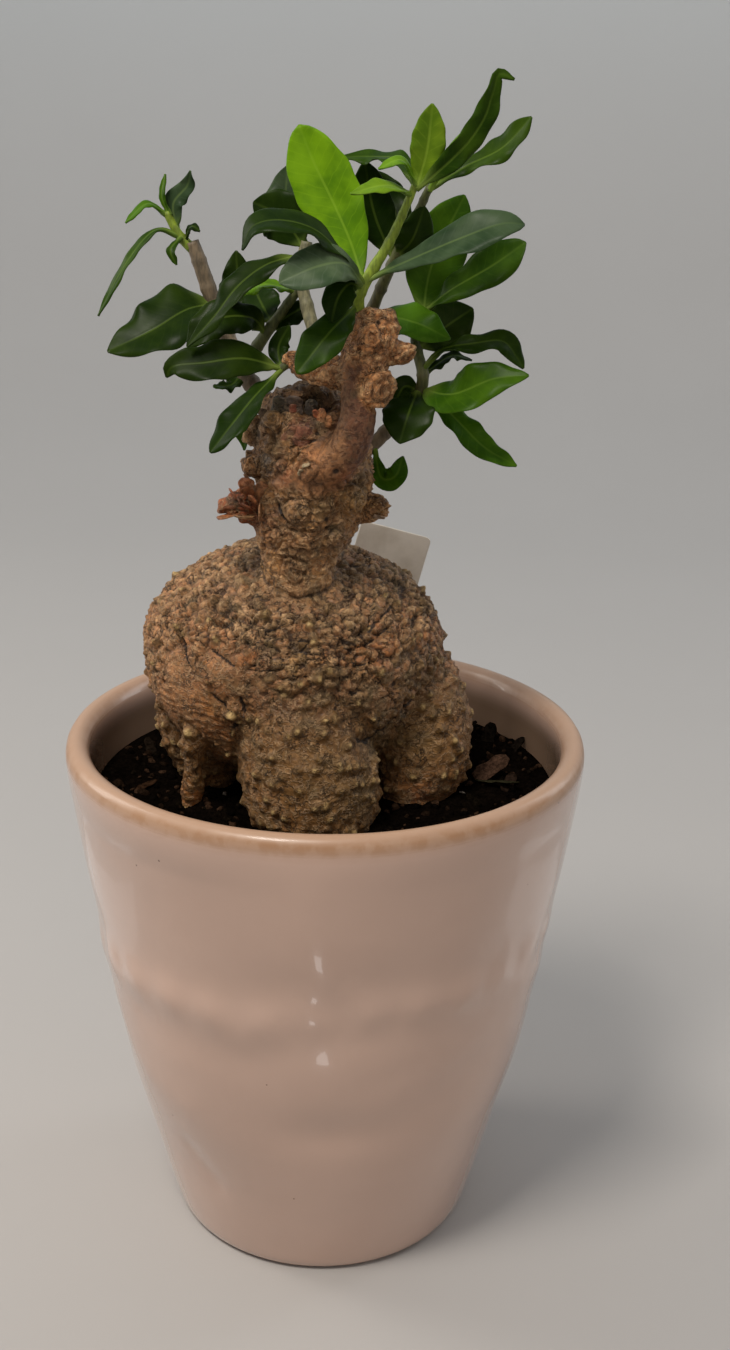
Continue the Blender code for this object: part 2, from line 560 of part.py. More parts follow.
def pot_ring(radius, height, pressed=False):
    """One ring of points round the pot's axis."""
    ring = []
    for k in range(POT_SIDES):
        degrees = 360 * k / POT_SIDES
        reach = radius - (dent(degrees, height) if pressed else 0)
        angle = math.radians(degrees)
        ring.append((reach * math.sin(angle), -reach * math.cos(angle), height))
    return ring


def skin(rings, first, last):
    """Points and faces of a closed skin through rings, with a middle point at each end."""
    count = len(rings[0])
    points = [p for ring in rings for p in ring] + [first, last]
    faces = []
    for row in range(len(rings) - 1):
        for k in range(count):
            a, b = row * count + k, row * count + (k + 1) % count
            faces += [(a, b, b + count), (a, b + count, a + count)]
    start, end = len(points) - 2, len(points) - 1
    top = (len(rings) - 1) * count
    for k in range(count):
        faces.append((start, (k + 1) % count, k))
        faces.append((end, top + k, top + (k + 1) % count))
    return points, faces


def make_pot():
    """The pot: a dented outside wall, a thick round lip, a plain inside and a flat underside."""
    rings = [pot_ring(r, z, pressed=True) for r, z in POT_OUTER]
    rings += [pot_ring(r, z) for r, z in POT_INNER]
    points, faces = skin(rings, (0, 0, 0), (0, 0, POT_FLOOR))
    return make_object("pot", points, faces)


def make_soil():
    """The soil: it fills the pot's inside, has a clumpy top and a plain hole for each foot."""
    chance = random.Random(SEED + 3)
    inner = [(r - GAP, z + GAP) for r, z in reversed(POT_INNER) if z < SOIL_TOP]
    rings = [pot_ring(r, z) for r, z in inner]
    heights = [z for _, z in POT_INNER]
    radii = [r for r, _ in POT_INNER]
    edge = float(np.interp(SOIL_TOP, heights[::-1], radii[::-1])) - GAP
    for step in range(SOIL_RINGS):
        share = 1 - step / SOIL_RINGS
        level = SOIL_TOP - SOIL_DISH * (1 - share)
        swing = SOIL_CLUMP if step else SOIL_EDGE_CLUMP
        ring = pot_ring(edge * share, level)
        rings.append([(x, y, z + swing * chance.uniform(-1, 1)) for x, y, z in ring])
    points, faces = skin(rings, (0, 0, POT_FLOOR + GAP), (0, 0, SOIL_TOP - SOIL_DISH))
    soil = make_object("soil", points, faces)
    holes = []
    for name, foot in (("front", FRONT_FOOT), ("right", RIGHT_FOOT), ("left", LEFT_FOOT),
                       ("back", BACK_FOOT), ("stub", ROOT_STUB)):
        x, y, z, radius = foot[-1]
        wide = max(ring[3] for ring in foot if ring[2] < SOIL_TOP + HOLE_BELOW) + HOLE_MARGIN
        rings = [(x, y, z - GAP, radius + HOLE_MARGIN), (x, y, SOIL_TOP - HOLE_BELOW, wide),
                 (x, y, SOIL_TOP + HOLE_ABOVE, wide)]
        holes.append(ring_tube(f"hole_{name}", rings, HOLE_SIDES))
    holes.append(label_solid("label_slot", GAP))
    combine(soil, holes, "DIFFERENCE")
    keep_largest_body(soil)
    return soil


def label_solid(name, grow=0.0):
    """The flat tag, leaning to one side, grown all round by the given amount."""
    along_x = Vector((math.cos(LABEL_LEAN), 0, -math.sin(LABEL_LEAN)))
    down = Vector((-math.sin(LABEL_LEAN), 0, -math.cos(LABEL_LEAN)))
    back = Vector((0, 1, 0))
    corner = Vector(LABEL_TOP_LEFT)
    points = []
    for y in (-grow, LABEL_THICK + grow):
        for x, z in ((-grow, -grow), (LABEL_WIDE + grow, -grow),
                     (LABEL_WIDE + grow, LABEL_LONG + grow), (-grow, LABEL_LONG + grow)):
            points.append(corner + along_x * x + down * z + back * y)
    faces = [(0, 1, 2, 3), (7, 6, 5, 4), (0, 4, 5, 1), (1, 5, 6, 2), (2, 6, 7, 3), (3, 7, 4, 0)]
    return make_object(name, points, faces)


def finish(item, colour):
    """Give a node its own material and smooth shading with sharp creases kept."""
    item.data.materials.clear()
    item.data.materials.append(make_material(colour))
    item.data.shade_smooth()
    item.data.set_sharp_from_angle(angle=math.radians(45))


def main():
    """Build every node of the potted plant."""
    clear_scene()
    finish(make_pot(), "pot")
    finish(make_soil(), "soil")
    finish(make_caudex(), "caudex")
    for name in SPRIGS:
        finish(make_sprig(name), "foliage")
    finish(label_solid("plant_label"), "label")


main()
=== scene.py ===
"""Looks of a potted fockea: a warty caudex with leafy sprigs, soil and a dented glazed pot.

Sizes in the tables are millimetres and become metres when a mesh is made. +Z is up and the
front of the plant faces -Y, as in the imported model.
"""

import itertools
import logging
import math
from dataclasses import dataclass, field
from enum import Enum

import bmesh
import bpy
import numpy as np
from mathutils import Matrix

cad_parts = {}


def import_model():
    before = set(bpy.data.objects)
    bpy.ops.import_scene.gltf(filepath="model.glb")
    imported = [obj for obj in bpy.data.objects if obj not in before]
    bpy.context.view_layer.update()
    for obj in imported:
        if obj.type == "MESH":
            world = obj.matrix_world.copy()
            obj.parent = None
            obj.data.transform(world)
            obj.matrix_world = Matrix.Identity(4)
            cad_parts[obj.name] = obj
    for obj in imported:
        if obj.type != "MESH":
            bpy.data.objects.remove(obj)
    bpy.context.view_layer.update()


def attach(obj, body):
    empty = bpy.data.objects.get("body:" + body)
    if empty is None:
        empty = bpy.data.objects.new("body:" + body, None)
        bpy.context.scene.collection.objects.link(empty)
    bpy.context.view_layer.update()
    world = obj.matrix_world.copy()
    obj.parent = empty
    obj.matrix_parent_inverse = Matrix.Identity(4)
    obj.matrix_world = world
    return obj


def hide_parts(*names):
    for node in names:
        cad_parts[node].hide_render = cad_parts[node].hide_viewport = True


MM = 0.001
BODY = "root"
NO_WART = 9.0
LOOSE_SMOOTH = 0.6
STEM_SIDES = 18

Colour = tuple[float, float, float]
Place = tuple[float, float, float]
Point = tuple[float, ...]

log = logging.getLogger("potted_fockea")


# Arrays and noise


def unit(v: np.ndarray) -> np.ndarray:
    """Vectors of length one along the last axis."""
    return v / np.maximum(np.linalg.norm(v, axis=-1, keepdims=True), 1e-12)


def smoothstep(low: float, high: float, x: np.ndarray) -> np.ndarray:
    """A soft step from 0 at low to 1 at high; low may be the larger of the two."""
    t = np.clip((x - low) / (high - low), 0, 1)
    return t * t * (3 - 2 * t)


def blend(a: np.ndarray, b: np.ndarray | Colour, share: np.ndarray) -> np.ndarray:
    """Rows of a moved towards b by a share for each row."""
    return a + (np.asarray(b, float) - a) * share[:, None]


def smooth_route(points: tuple[Point, ...], steps: int) -> np.ndarray:
    """A smooth curve through points, which may carry a radius.

    Catmull-Rom: each span is the cubic that passes through its two ends with the slope
    of the line between their neighbours.

    Args:
        points: the route's points, all with the same number of values.
        steps: how many steps each span is read at.

    Returns:
        One row for each point of the curve.
    """
    p = np.asarray(points, float)
    p = np.vstack([2 * p[0] - p[1], p, 2 * p[-1] - p[-2]])
    a, b, c, d = (p[k : len(p) - 3 + k, None] for k in range(4))
    t = (np.arange(steps) / steps)[None, :, None]
    cubic = 2 * b + (c - a) * t + (2 * a - 5 * b + 4 * c - d) * t**2 + (3 * b - a - 3 * c + d) * t**3
    return np.vstack([0.5 * cubic.reshape(-1, p.shape[1]), p[-2][None]])


def along(route: np.ndarray, count: int) -> np.ndarray:
    """The same route read at a number of even steps of its length.

    Args:
        route: its points, one to a row.
        count: how many rows are read.

    Returns:
        The rows read.
    """
    steps = np.linalg.norm(np.diff(route[:, :3], axis=0), axis=1)
    length = np.concatenate([[0], np.cumsum(steps)])
    wanted = np.linspace(0, length[-1], count)
    return np.column_stack([np.interp(wanted, length, column) for column in route.T])


def draws(cell: np.ndarray, seed: int) -> np.ndarray:
    """Repeatable numbers from 0 to 1, one for each whole-number lattice cell.

    The three indices are mixed with the seed by products and shifts, as a hash does.

    Args:
        cell: lattice indices, three to a row.
        seed: picks another set of numbers.

    Returns:
        One number for each row.
    """
    mask = np.uint64(0xFFFFFFFF)
    x, y, z = (cell[..., k].astype(np.int64).astype(np.uint64) & mask for k in range(3))
    h = (x * np.uint64(73856093)) ^ (y * np.uint64(19349663)) ^ (z * np.uint64(83492791))
    h = (h ^ np.uint64(seed * 2654435761 % 4294967296)) & mask
    h = ((h ^ (h >> np.uint64(15))) * np.uint64(2246822519)) & mask
    h = ((h ^ (h >> np.uint64(13))) * np.uint64(3266489917)) & mask
    return (h ^ (h >> np.uint64(16))).astype(float) / 4294967296.0


def noise(p: np.ndarray, size: float, seed: int) -> np.ndarray:
    """Smooth noise from -1 to 1: lattice numbers size mm apart, eased between by cubics.

    Args:
        p: points in millimetres.
        size: the lattice's step in millimetres.
        seed: picks another pattern.

    Returns:
        One value for each point.
    """
    q = p / size
    base = np.floor(q)
    f = q - base
    f = f * f * (3 - 2 * f)
    total = np.zeros(len(p))
    for corner in itertools.product((0, 1), repeat=3):
        weight = np.prod(np.where(np.array(corner) == 1, f, 1 - f), axis=1)
        total += weight * draws(base + corner, seed)
    return 2 * total - 1


def cloudy(p: np.ndarray, size: float, seed: int, octaves: int = 3) -> np.ndarray:
    """Noise with finer noise on it, each octave half as large and half as strong."""
    total = sum(noise(p, size / 2**k, seed + k) / 2**k for k in range(octaves))
    return total / (2 - 0.5 ** (octaves - 1))


def cobbles(p: np.ndarray, size: float, seed: int, flat: float = 1.0) -> tuple[np.ndarray, ...]:
    """Distances to seeds scattered one to a lattice cell, as for cobbles or scales.

    Args:
        p: points in millimetres.
        size: the cells' size in millimetres.
        seed: picks another pattern.
        flat: how low a cell is for its width.

    Returns:
        The distance to the nearest seed and to the next, in cells, and a number from 0
        to 1 that belongs to the nearest seed.
    """
    q = p / (size * np.array([1.0, 1.0, flat]))
    base = np.floor(q)
    near = np.full(len(p), 9.0)
    far = np.full(len(p), 9.0)
    mark = np.zeros(len(p))
    for offset in itertools.product((-1, 0, 1), repeat=3):
        cell = base + offset
        place = cell + np.column_stack([draws(cell, seed + k) for k in range(3)])
        d = np.linalg.norm(q - place, axis=1)
        closer = d < near
        far = np.where(closer, near, np.minimum(far, d))
        mark = np.where(closer, draws(cell, seed + 7), mark)
        near = np.where(closer, d, near)
    return near, far, mark


def line_distance(p: np.ndarray, line: tuple[Point, ...]) -> np.ndarray:
    """Distance from each point to a smooth line, taken as short straight parts, in millimetres.

    Args:
        p: points.
        line: the line's own points.

    Returns:
        One distance for each point.
    """
    route = along(smooth_route(line, 8), 20)
    start, step = route[:-1], np.diff(route, axis=0)
    share = np.clip(np.einsum("nij,ij->ni", p[:, None] - start, step) / (step**2).sum(1), 0, 1)
    return np.min(np.linalg.norm(p[:, None] - start - share[..., None] * step, axis=2), axis=1)


def from_rows(kind: type, parts: tuple[int, ...], table: tuple[Point, ...]) -> tuple:
    """Objects of one kind from rows of plain numbers.

    Args:
        kind: the dataclass to make.
        parts: how many numbers each of its fields takes; a single one stays a number.
        table: one row for each object.

    Returns:
        The objects, in the table's order.
    """
    ends = np.cumsum(parts)
    return tuple(kind(*(row[end - 1] if size == 1 else row[end - size : end]
                        for size, end in zip(parts, ends))) for row in table)


# Meshes


@dataclass
class Skin:
    """Points in millimetres, their faces, and named values that the points carry."""

    points: np.ndarray
    faces: list[np.ndarray]
    layers: dict[str, np.ndarray] = field(default_factory=dict)
    finish: int = 0

    def plus(self, name: str, values: np.ndarray | Colour | float) -> "Skin":
        """The same skin with one more layer, spread over all its points.

        Args:
            name: the layer's name.
            values: one for each point, or one for all.

        Returns:
            This skin.
        """
        values = np.asarray(values, float)
        if values.ndim < 2 and values.shape[:1] != (len(self.points),):
            values = np.broadcast_to(values, (len(self.points), *values.shape))
        self.layers[name] = np.array(values)
        return self


def ring_quads(rows: int, sides: int) -> np.ndarray:
    """The faces between rings of points: two neighbours on a ring, and the two on the next ring.

    Args:
        rows: how many rings.
        sides: points round a ring.

    Returns:
        Four point numbers for each face.
    """
    k = np.arange(sides)
    after = (k + 1) % sides
    start = (np.arange(rows - 1) * sides)[:, None]
    quads = np.stack([start + k, start + after, start + sides + after, start + sides + k], axis=2)
    return quads.reshape(-1, 4)


def carried(rings: np.ndarray) -> Skin:
    """A closed skin through rings of points, with a fan round a middle point at each end.

    Args:
        rings: an array of rows, points in a row, and three coordinates.

    Returns:
        The skin, whose rings' points come first and the two middle points last.
    """
    rows, sides = rings.shape[:2]
    points = np.vstack([rings.reshape(-1, 3), rings[0].mean(0)[None], rings[-1].mean(0)[None]])
    k = np.arange(sides)
    after = (k + 1) % sides
    foot, top = rows * sides, (rows - 1) * sides
    fans = np.vstack([np.column_stack([np.full(sides, foot), after, k]),
                      np.column_stack([np.full(sides, foot + 1), top + k, top + after])])
    return Skin(points, [ring_quads(rows, sides), fans])


def spread(rows: np.ndarray, sides: int) -> np.ndarray:
    """A value for each ring of a carried skin, given to all of its points."""
    return np.concatenate([np.repeat(rows, sides, axis=0), rows[:1], rows[-1:]])


def joined(skins: list[Skin]) -> Skin:
    """Several skins as one; each keeps its own faces, layers and finish number.

    Args:
        skins: skins with the same layers.

    Returns:
        One skin, with a layer of finish numbers.
    """
    starts = np.cumsum([0] + [len(s.points) for s in skins])
    faces = [f + start for s, start in zip(skins, starts) for f in s.faces]
    layers = {name: np.concatenate([s.layers[name] for s in skins]) for name in skins[0].layers}
    whole = Skin(np.vstack([s.points for s in skins]), faces, layers)
    whole.layers["finish"] = np.concatenate([np.full(len(s.points), s.finish) for s in skins])
    return whole


def frame_along(centre: np.ndarray) -> tuple[np.ndarray, np.ndarray]:
    """Two directions across a path that turn as little as they can along it.

    Each side vector is the one before it with its part along the path taken off.

    Args:
        centre: the path's points.

    Returns:
        The two directions at each point.
    """
    tangent = unit(np.gradient(centre, axis=0))
    side = np.cross(tangent[0], (0.31, 0.95, 0.1))
    sides = np.empty_like(tangent)
    for row, way in enumerate(tangent):
        side = side - way * np.dot(side, way)
        side = side / np.linalg.norm(side)
        sides[row] = side
    return sides, np.cross(tangent, sides)


def tube(rings: np.ndarray, sides: int) -> Skin:
    """A round tube through rings (x, y, z, radius): a circle carried along the path.

    Args:
        rings: one row for each ring.
        sides: points round a ring.

    Returns:
        The tube, rounded off a little at both ends.
    """
    side, other = frame_along(rings[:, :3])
    angle = np.linspace(0, 2 * math.pi, sides, endpoint=False)
    circle = (np.cos(angle)[None, :, None] * side[:, None] + np.sin(angle)[None, :, None] * other[:, None])
    return carried(rings[:, None, :3] + circle * rings[:, 3][:, None, None])


def add_layer(mesh: bpy.types.Mesh, name: str, values: np.ndarray) -> None:
    """Give a mesh's points a named number, colour (only for tone) or vector.

    Args:
        mesh: the mesh.
        name: the layer's name.
        values: one number, or one row of three, for each point.
    """
    kind, key = ("FLOAT", "value") if values.ndim == 1 else ("FLOAT_VECTOR", "vector")
    if name == "tone":
        kind, key = "FLOAT_COLOR", "color"
        values = np.column_stack([values, np.ones(len(values))])
    data = mesh.attributes.new(name, kind, "POINT").data
    data.foreach_set(key, values.astype(np.float32).ravel())


def make_piece(name: str, skin: Skin, materials: list[bpy.types.Material], turn_out: bool = True
               ) -> bpy.types.Object:
    """Make a mesh object from a skin, with its layers as point attributes.

    Args:
        name: the piece's name.
        skin: points in millimetres, faces and layers.
        materials: one for each finish number.
        turn_out: whether the faces are turned outwards first.

    Returns:
        The new object, at the origin.
    """
    mesh = bpy.data.meshes.new(name)
    mesh.from_pydata((skin.points * MM).tolist(), [], [f for part in skin.faces for f in part.tolist()])
    if turn_out:
        shape = bmesh.new()
        shape.from_mesh(mesh)
        bmesh.ops.recalc_face_normals(shape, faces=shape.faces)
        shape.to_mesh(mesh)
        shape.free()
    for layer, values in skin.layers.items():
        if layer == "finish":
            corners = np.zeros(len(mesh.loops), np.int32)
            mesh.loops.foreach_get("vertex_index", corners)
            first = np.zeros(len(mesh.polygons), np.int32)
            mesh.polygons.foreach_get("loop_start", first)
            mesh.polygons.foreach_set("material_index", values[corners[first]].astype(np.int32))
        else:
            add_layer(mesh, layer, values)
    for material in materials:
        mesh.materials.append(material)
    mesh.shade_smooth()
    piece = bpy.data.objects.new(name, mesh)
    bpy.context.scene.collection.objects.link(piece)
    log.info("%s: %d points, %d faces", name, len(mesh.vertices), len(mesh.polygons))
    return piece


def settle(piece: bpy.types.Object, slot: str, *nodes: str) -> None:
    """Let a piece ride on the plant and stand for its nodes, which are hidden.

    Args:
        piece: the finished piece.
        slot: its material slot; not used.
        *nodes: the nodes it stands for, if any.
    """
    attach(piece, BODY)
    if nodes:
        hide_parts(*nodes)


# Finishes


class Graph:
    """The nodes of one material, added and linked by short calls."""

    def __init__(self, name: str) -> None:
        """Start a material with a Principled shader.

        Args:
            name: the material's name.
        """
        self.material = bpy.data.materials.new(name)
        self.material.use_nodes = True
        self.tree = self.material.node_tree
        self.shader = self.tree.nodes["Principled BSDF"]
        self.place = self.tree.nodes.new("ShaderNodeTexCoord").outputs["Object"]

    def node(self, kind: str, inputs: dict, **settings: object) -> bpy.types.Node:
        """Add a node, set its properties, and link or set each of its inputs.

        Args:
            kind: the node's type, without its ShaderNode prefix.
            inputs: input name or number to a socket or a value.
            **settings: the node's own properties.

        Returns:
            The new node.
        """
        made = self.tree.nodes.new("ShaderNode" + kind)
        for key, value in settings.items():
            setattr(made, key, value)
        for key, value in inputs.items():
            if isinstance(value, bpy.types.NodeSocket):
                self.tree.links.new(value, made.inputs[key])
            else:
                made.inputs[key].default_value = value
        return made

    def math(self, operation: str, a: object, b: object = 0.0) -> bpy.types.NodeSocket:
        """One sum on two numbers."""
        return self.node("Math", {0: a, 1: b}, operation=operation).outputs[0]

    def product(self, a: object, b: object) -> bpy.types.NodeSocket:
        """Two numbers multiplied."""
        return self.math("MULTIPLY", a, b)

    def noise(self, size: float, detail: float = 3.0, rough: float = 0.55, place: object = None
              ) -> bpy.types.NodeSocket:
        """Noise whose features are about size mm wide.

        Args:
            size: width of a feature in millimetres.
            detail: how many finer layers.
            rough: how strong they are.
            place: the coordinates, if not the object's own.

        Returns:
            The noise, 0 to 1.
        """
        inputs = {"Vector": place or self.place, "Scale": 1 / (size * MM), "Detail": detail,
                  "Roughness": rough}
        return self.node("TexNoise", inputs).outputs["Fac"]

    def step(self, value: object, low: float, high: float, out_low: float = 0.0, out_high: float = 1.0
             ) -> bpy.types.NodeSocket:
        """A soft step of a number between two limits."""
        inputs = {"Value": value, "From Min": low, "From Max": high, "To Min": out_low, "To Max": out_high}
        return self.node("MapRange", inputs, interpolation_type="SMOOTHSTEP").outputs["Result"]

    def mix(self, share: object, a: object, b: object, how: str = "MIX") -> bpy.types.NodeSocket:
        """Two colours mixed by a share.

        Args:
            share: how much of b.
            a: one colour.
            b: the other.
            how: the way they are mixed.

        Returns:
            The mixed colour.
        """
        made = self.node("Mix", {"Factor": share}, data_type="RGBA", blend_type=how)
        for socket, value in ((made.inputs[6], a), (made.inputs[7], b)):
            if isinstance(value, bpy.types.NodeSocket):
                self.tree.links.new(value, socket)
            else:
                socket.default_value = (*value, 1.0)
        return made.outputs[2]

    def times(self, tone: object, factor: Colour) -> bpy.types.NodeSocket:
        """A colour made darker, lighter or warmer by a factor for each channel."""
        return self.mix(1.0, tone, factor, "MULTIPLY")

    def layer(self, name: str) -> bpy.types.Node:
        """A named layer that the mesh's points carry."""
        return self.node("Attribute", {}, attribute_name=name)

    def value(self, name: str) -> bpy.types.NodeSocket:
        """A named layer read as a number."""
        return self.layer(name).outputs["Fac"]

    def bump(self, height: object, depth: float, strength: float = 1.0, below: object = None
             ) -> bpy.types.NodeSocket:
        """A bump, depth mm deep, over another bump's normal.

        Args:
            height: the relief, 0 to 1.
            depth: its depth in millimetres.
            strength: its share.
            below: the normal under it.

        Returns:
            The bent normal.
        """
        inputs = {"Height": height, "Distance": depth * MM, "Strength": strength}
        if below is not None:
            inputs["Normal"] = below
        return self.node("Bump", inputs).outputs["Normal"]

    def done(self, **sockets: object) -> bpy.types.Material:
        """Link or set the shader's sockets, named with _ for a space, and return the material.

        Args:
            **sockets: values or sockets by name.

        Returns:
            The material.
        """
        for key, value in sockets.items():
            socket = self.shader.inputs[key.replace("_", " ")]
            if isinstance(value, bpy.types.NodeSocket):
                self.tree.links.new(value, socket)
            else:
                socket.default_value = value
        return self.material


@dataclass(frozen=True)
class GlazeFinish:
    """Pinkish cream glaze with tiny brown specks, thinner and ochre along the lip, and darker brown inside:
    partly a browner inner glaze, partly painted shade on the inner wall.
    """

    body: Colour = (0.585, 0.402, 0.322)
    pool: Colour = (0.53, 0.357, 0.282)
    lip: Colour = (0.42, 0.262, 0.172)
    rust: Colour = (0.33, 0.165, 0.075)
    speck: Colour = (0.10, 0.05, 0.03)
    # Inside tone: partly a browner inner glaze, partly painted shade on the inner wall
    inside: Colour = (0.21, 0.135, 0.09)

    def material(self) -> bpy.types.Material:
        """The glaze as a material.

        Returns:
            The material.
        """
        g = Graph("cream_glaze")
        tone = g.mix(g.noise(38, 2), self.body, self.pool)
        tone = g.mix(g.value("lip"), tone, self.lip)
        # Darker brown inside the pot: partly a browner inner glaze, partly painted shade on the inner wall
        tone = g.mix(g.value("inside"), tone, self.inside)
        worn = g.product(g.value("edge"),
                      g.step(g.noise(5, 4), 0.42, 0.62, 0.15, 0.7))
        tone = g.mix(worn, tone, self.rust)
        # Specks: a dot in some of the cells
        dots = g.node("TexVoronoi", {"Vector": g.place, "Scale": 1 / (7.5 * MM)}, feature="F1")
        chance = g.node("SeparateColor", {"Color": dots.outputs["Color"]}).outputs[0]
        dot = g.math("LESS_THAN", dots.outputs["Distance"], g.step(chance, 0.6, 1.0, 0.0, 0.05))
        tone = g.mix(g.product(dot, 0.8), tone, self.speck)
        waves = g.bump(g.noise(26, 2), 0.7, 0.5)
        pits = g.bump(g.noise(1.6, 2), 0.02, 0.4, waves)
        lip = g.value("lip")
        return g.done(Base_Color=tone, Roughness=g.step(lip, 0.0, 1.0, 0.2, 0.38),
                      Coat_Weight=g.step(lip, 0.0, 1.0, 0.75, 0.1), Coat_Roughness=0.03,
                      Normal=pits, Coat_Normal=waves)


@dataclass(frozen=True)
class BarkFinish:
    """Cork bark: ground colours come with the mesh; fibres, light ridges, dark seams and the
    bright tips of warts are added. The ridges and tips are partly painted highlight, the
    seams and thin grooves painted shade."""

    dark: Colour = (0.52, 0.46, 0.41)
    light: Colour = (1.4, 1.38, 1.36)
    # Pale for raised ridges: partly painted highlight
    pale: Colour = (0.60, 0.40, 0.22)
    # Near-black for seams and grooves: painted shade
    pore: Colour = (0.016, 0.009, 0.006)
    lichen: Colour = (0.095, 0.080, 0.040)
    halo: Colour = (0.120, 0.064, 0.018)
    # Bright wart tips: partly paler tips, partly painted highlight
    tip: Colour = (0.58, 0.39, 0.16)

    def material(self) -> bpy.types.Material:
        """The bark as a material.

        Returns:
            The material.
        """
        g = Graph("warty_bark")
        own = g.layer("tone").outputs["Color"]
        wart = g.value("wart")
        # Bent coordinates, fine grain and level streaks
        shift = g.node("VectorMath", {0: g.node("TexNoise", {"Vector": g.place, "Scale": 1 / (6 * MM)}
                                                ).outputs["Color"]}, operation="SCALE")
        shift.inputs["Scale"].default_value = 4 * MM
        moved = g.node("VectorMath", {0: g.place, 1: shift.outputs[0]}, operation="ADD").outputs[0]
        level = g.node("Mapping", {"Vector": moved, "Scale": (0.8, 0.8, 2.0)}).outputs[0]
        streaks = g.noise(1.2, 4, 0.65, level)
        blur = g.product(g.value("fibre"), 0.6)
        grain = g.node("Mix", {0: blur, 2: g.noise(1.3, 5, 0.68, moved), 3: streaks}).outputs[0]
        # Light ridges and dark seams, which the smooth parts lack: the ridges' paleness is partly painted
        # highlight, the seams' darkness painted shade
        worms = g.math("ABSOLUTE", g.math("SUBTRACT", g.noise(2.6, 3, 0.6, moved), 0.5))
        seams = g.math("ABSOLUTE", g.math("SUBTRACT", g.noise(4.2, 4, 0.62, moved), 0.5))
        light = g.step(worms, 0.0, 0.055, 1.0, 0.0)
        line = g.product(g.step(seams, 0.0, 0.024, 1.0, 0.0), g.step(g.noise(7, 2), 0.4, 0.6))
        plain = g.math("SUBTRACT", 1.0, g.value("smooth"))
        line = g.product(line, plain)
        light = g.product(light, plain)
        # Colour: lichen patches, grain, ridges, seams, wart tips with a rusty ring, thin grooves; pale ridges
        # and bright tips partly painted highlight, dark seams and grooves painted shade
        tone = g.mix(g.step(g.noise(6, 3), 0.5, 0.7, 0.0, 0.45), own, self.lichen)
        tone = g.mix(g.step(grain, 0.34, 0.66), g.times(tone, self.dark),
                     g.times(tone, self.light))
        tone = g.mix(g.product(light, 0.32), tone, self.pale)
        tone = g.mix(g.product(line, 0.75), tone, self.pore)
        ring = g.step(g.math("ADD", wart, g.product(grain, 1.2)), 1.7, 3.0, 0.6, 0.0)
        tone = g.mix(ring, tone, self.halo)
        # Bright wart tips: partly painted highlight
        top = g.step(g.math("ADD", wart, g.product(g.noise(2.2, 2), 1.6)), 1.0, 2.0, 0.75, 0.0)
        tone = g.mix(top, tone, self.tip)
        # Dark lines in grooves, seams and small pits: painted shade, broken by grain
        split = g.math("ADD", g.value("split"), g.product(grain, 0.35))
        tone = g.mix(g.step(split, 0.6, 0.9, 0.0, 0.9), tone, self.pore)
        height = g.math("ADD", g.product(light, 0.45), g.product(grain, 0.7))
        height = g.math("SUBTRACT", height, g.product(line, 0.9))
        rough = g.step(g.noise(3, 3), 0.3, 0.7, 0.38, 0.7)
        return g.done(Base_Color=tone, Roughness=rough, Specular_IOR_Level=0.32,
                      Normal=g.bump(height, 0.6, 1.0))


@dataclass(frozen=True)
class LeafFinish:
    """Leathery leaf: glossy above with a pale midrib and faint veins, grey-green and dull below."""

    rib: Colour = (0.16, 0.24, 0.035)
    below: Colour = (0.060, 0.095, 0.030)
    dark: Colour = (0.62, 0.70, 0.6)
    light: Colour = (1.4, 1.28, 1.2)
    veined: Colour = (1.9, 1.6, 2.0)
    ribbed: Colour = (2.4, 2.0, 2.5)
    dusty: Colour = (1.4, 1.3, 1.5)

    def material(self) -> bpy.types.Material:
        """The blade as a material.

        Returns:
            The material.
        """
        g = Graph("leathery_leaf")
        own = g.layer("tone").outputs["Color"]
        under = g.value("under")
        parts = g.node("SeparateXYZ", {0: g.layer("blade").outputs["Vector"]})
        across = g.math("ABSOLUTE", parts.outputs[0])
        # Midrib, and side veins that run slantwise from it
        rib = g.step(across, 0.12, 0.5, 1.0, 0.0)
        rib = g.product(rib, g.step(parts.outputs[1], 0.55, 1.0, 1.0, 0.25))
        turn = g.math("ADD", parts.outputs[2], g.product(g.noise(5, 2), 0.7))
        near = g.math("ABSOLUTE", g.math("SUBTRACT", g.math("FRACT", turn), 0.5))
        vein = g.product(g.step(near, 0.0, 0.10, 1.0, 0.0), g.step(across, 0.2, 1.2))
        # Upper side, then the dull side below
        patchy = g.mix(g.step(g.noise(9, 3), 0.3, 0.7), g.times(own, self.dark),
                       g.times(own, self.light))
        above = g.mix(g.product(vein, 0.22), patchy, g.times(own, self.veined))
        above = g.mix(g.product(rib, 0.42), above,
                      g.mix(0.45, g.times(own, self.ribbed), self.rib))
        dull = g.mix(0.5, g.times(own, self.dusty), self.below)
        dull = g.mix(g.product(rib, 0.6), dull, self.rib)
        tone = g.mix(under, above, dull)
        rough = g.math("ADD", g.step(under, 0.2, 0.8, 0.34, 0.55),
                       g.step(g.noise(6, 2), 0.3, 0.7, -0.04, 0.06))
        sunk = g.math("ADD", g.product(rib, -0.8), g.product(vein, -0.10))
        relief = g.bump(g.math("ADD", sunk, g.product(g.noise(5, 2), 0.8)), 0.10, 0.6)
        return g.done(Base_Color=tone, Roughness=rough, Specular_IOR_Level=0.05, Normal=relief)


@dataclass(frozen=True)
class StemFinish:
    """Stem: its colour comes with the mesh, with fine lengthwise streaks and pale pores."""

    dark: Colour = (0.62, 0.62, 0.6)
    light: Colour = (1.35, 1.3, 1.25)

    def material(self) -> bpy.types.Material:
        """The stem as a material.

        Returns:
            The material.
        """
        g = Graph("sprig_stem")
        own = g.layer("tone").outputs["Color"]
        long = g.node("Mapping", {"Vector": g.place, "Scale": (1.0, 1.0, 0.25)}).outputs[0]
        grain = g.noise(0.9, 4, 0.6, long)
        tone = g.mix(g.step(grain, 0.3, 0.7), g.times(own, self.dark), g.times(own, self.light))
        return g.done(Base_Color=tone, Roughness=0.6, Normal=g.bump(grain, 0.2, 0.7))


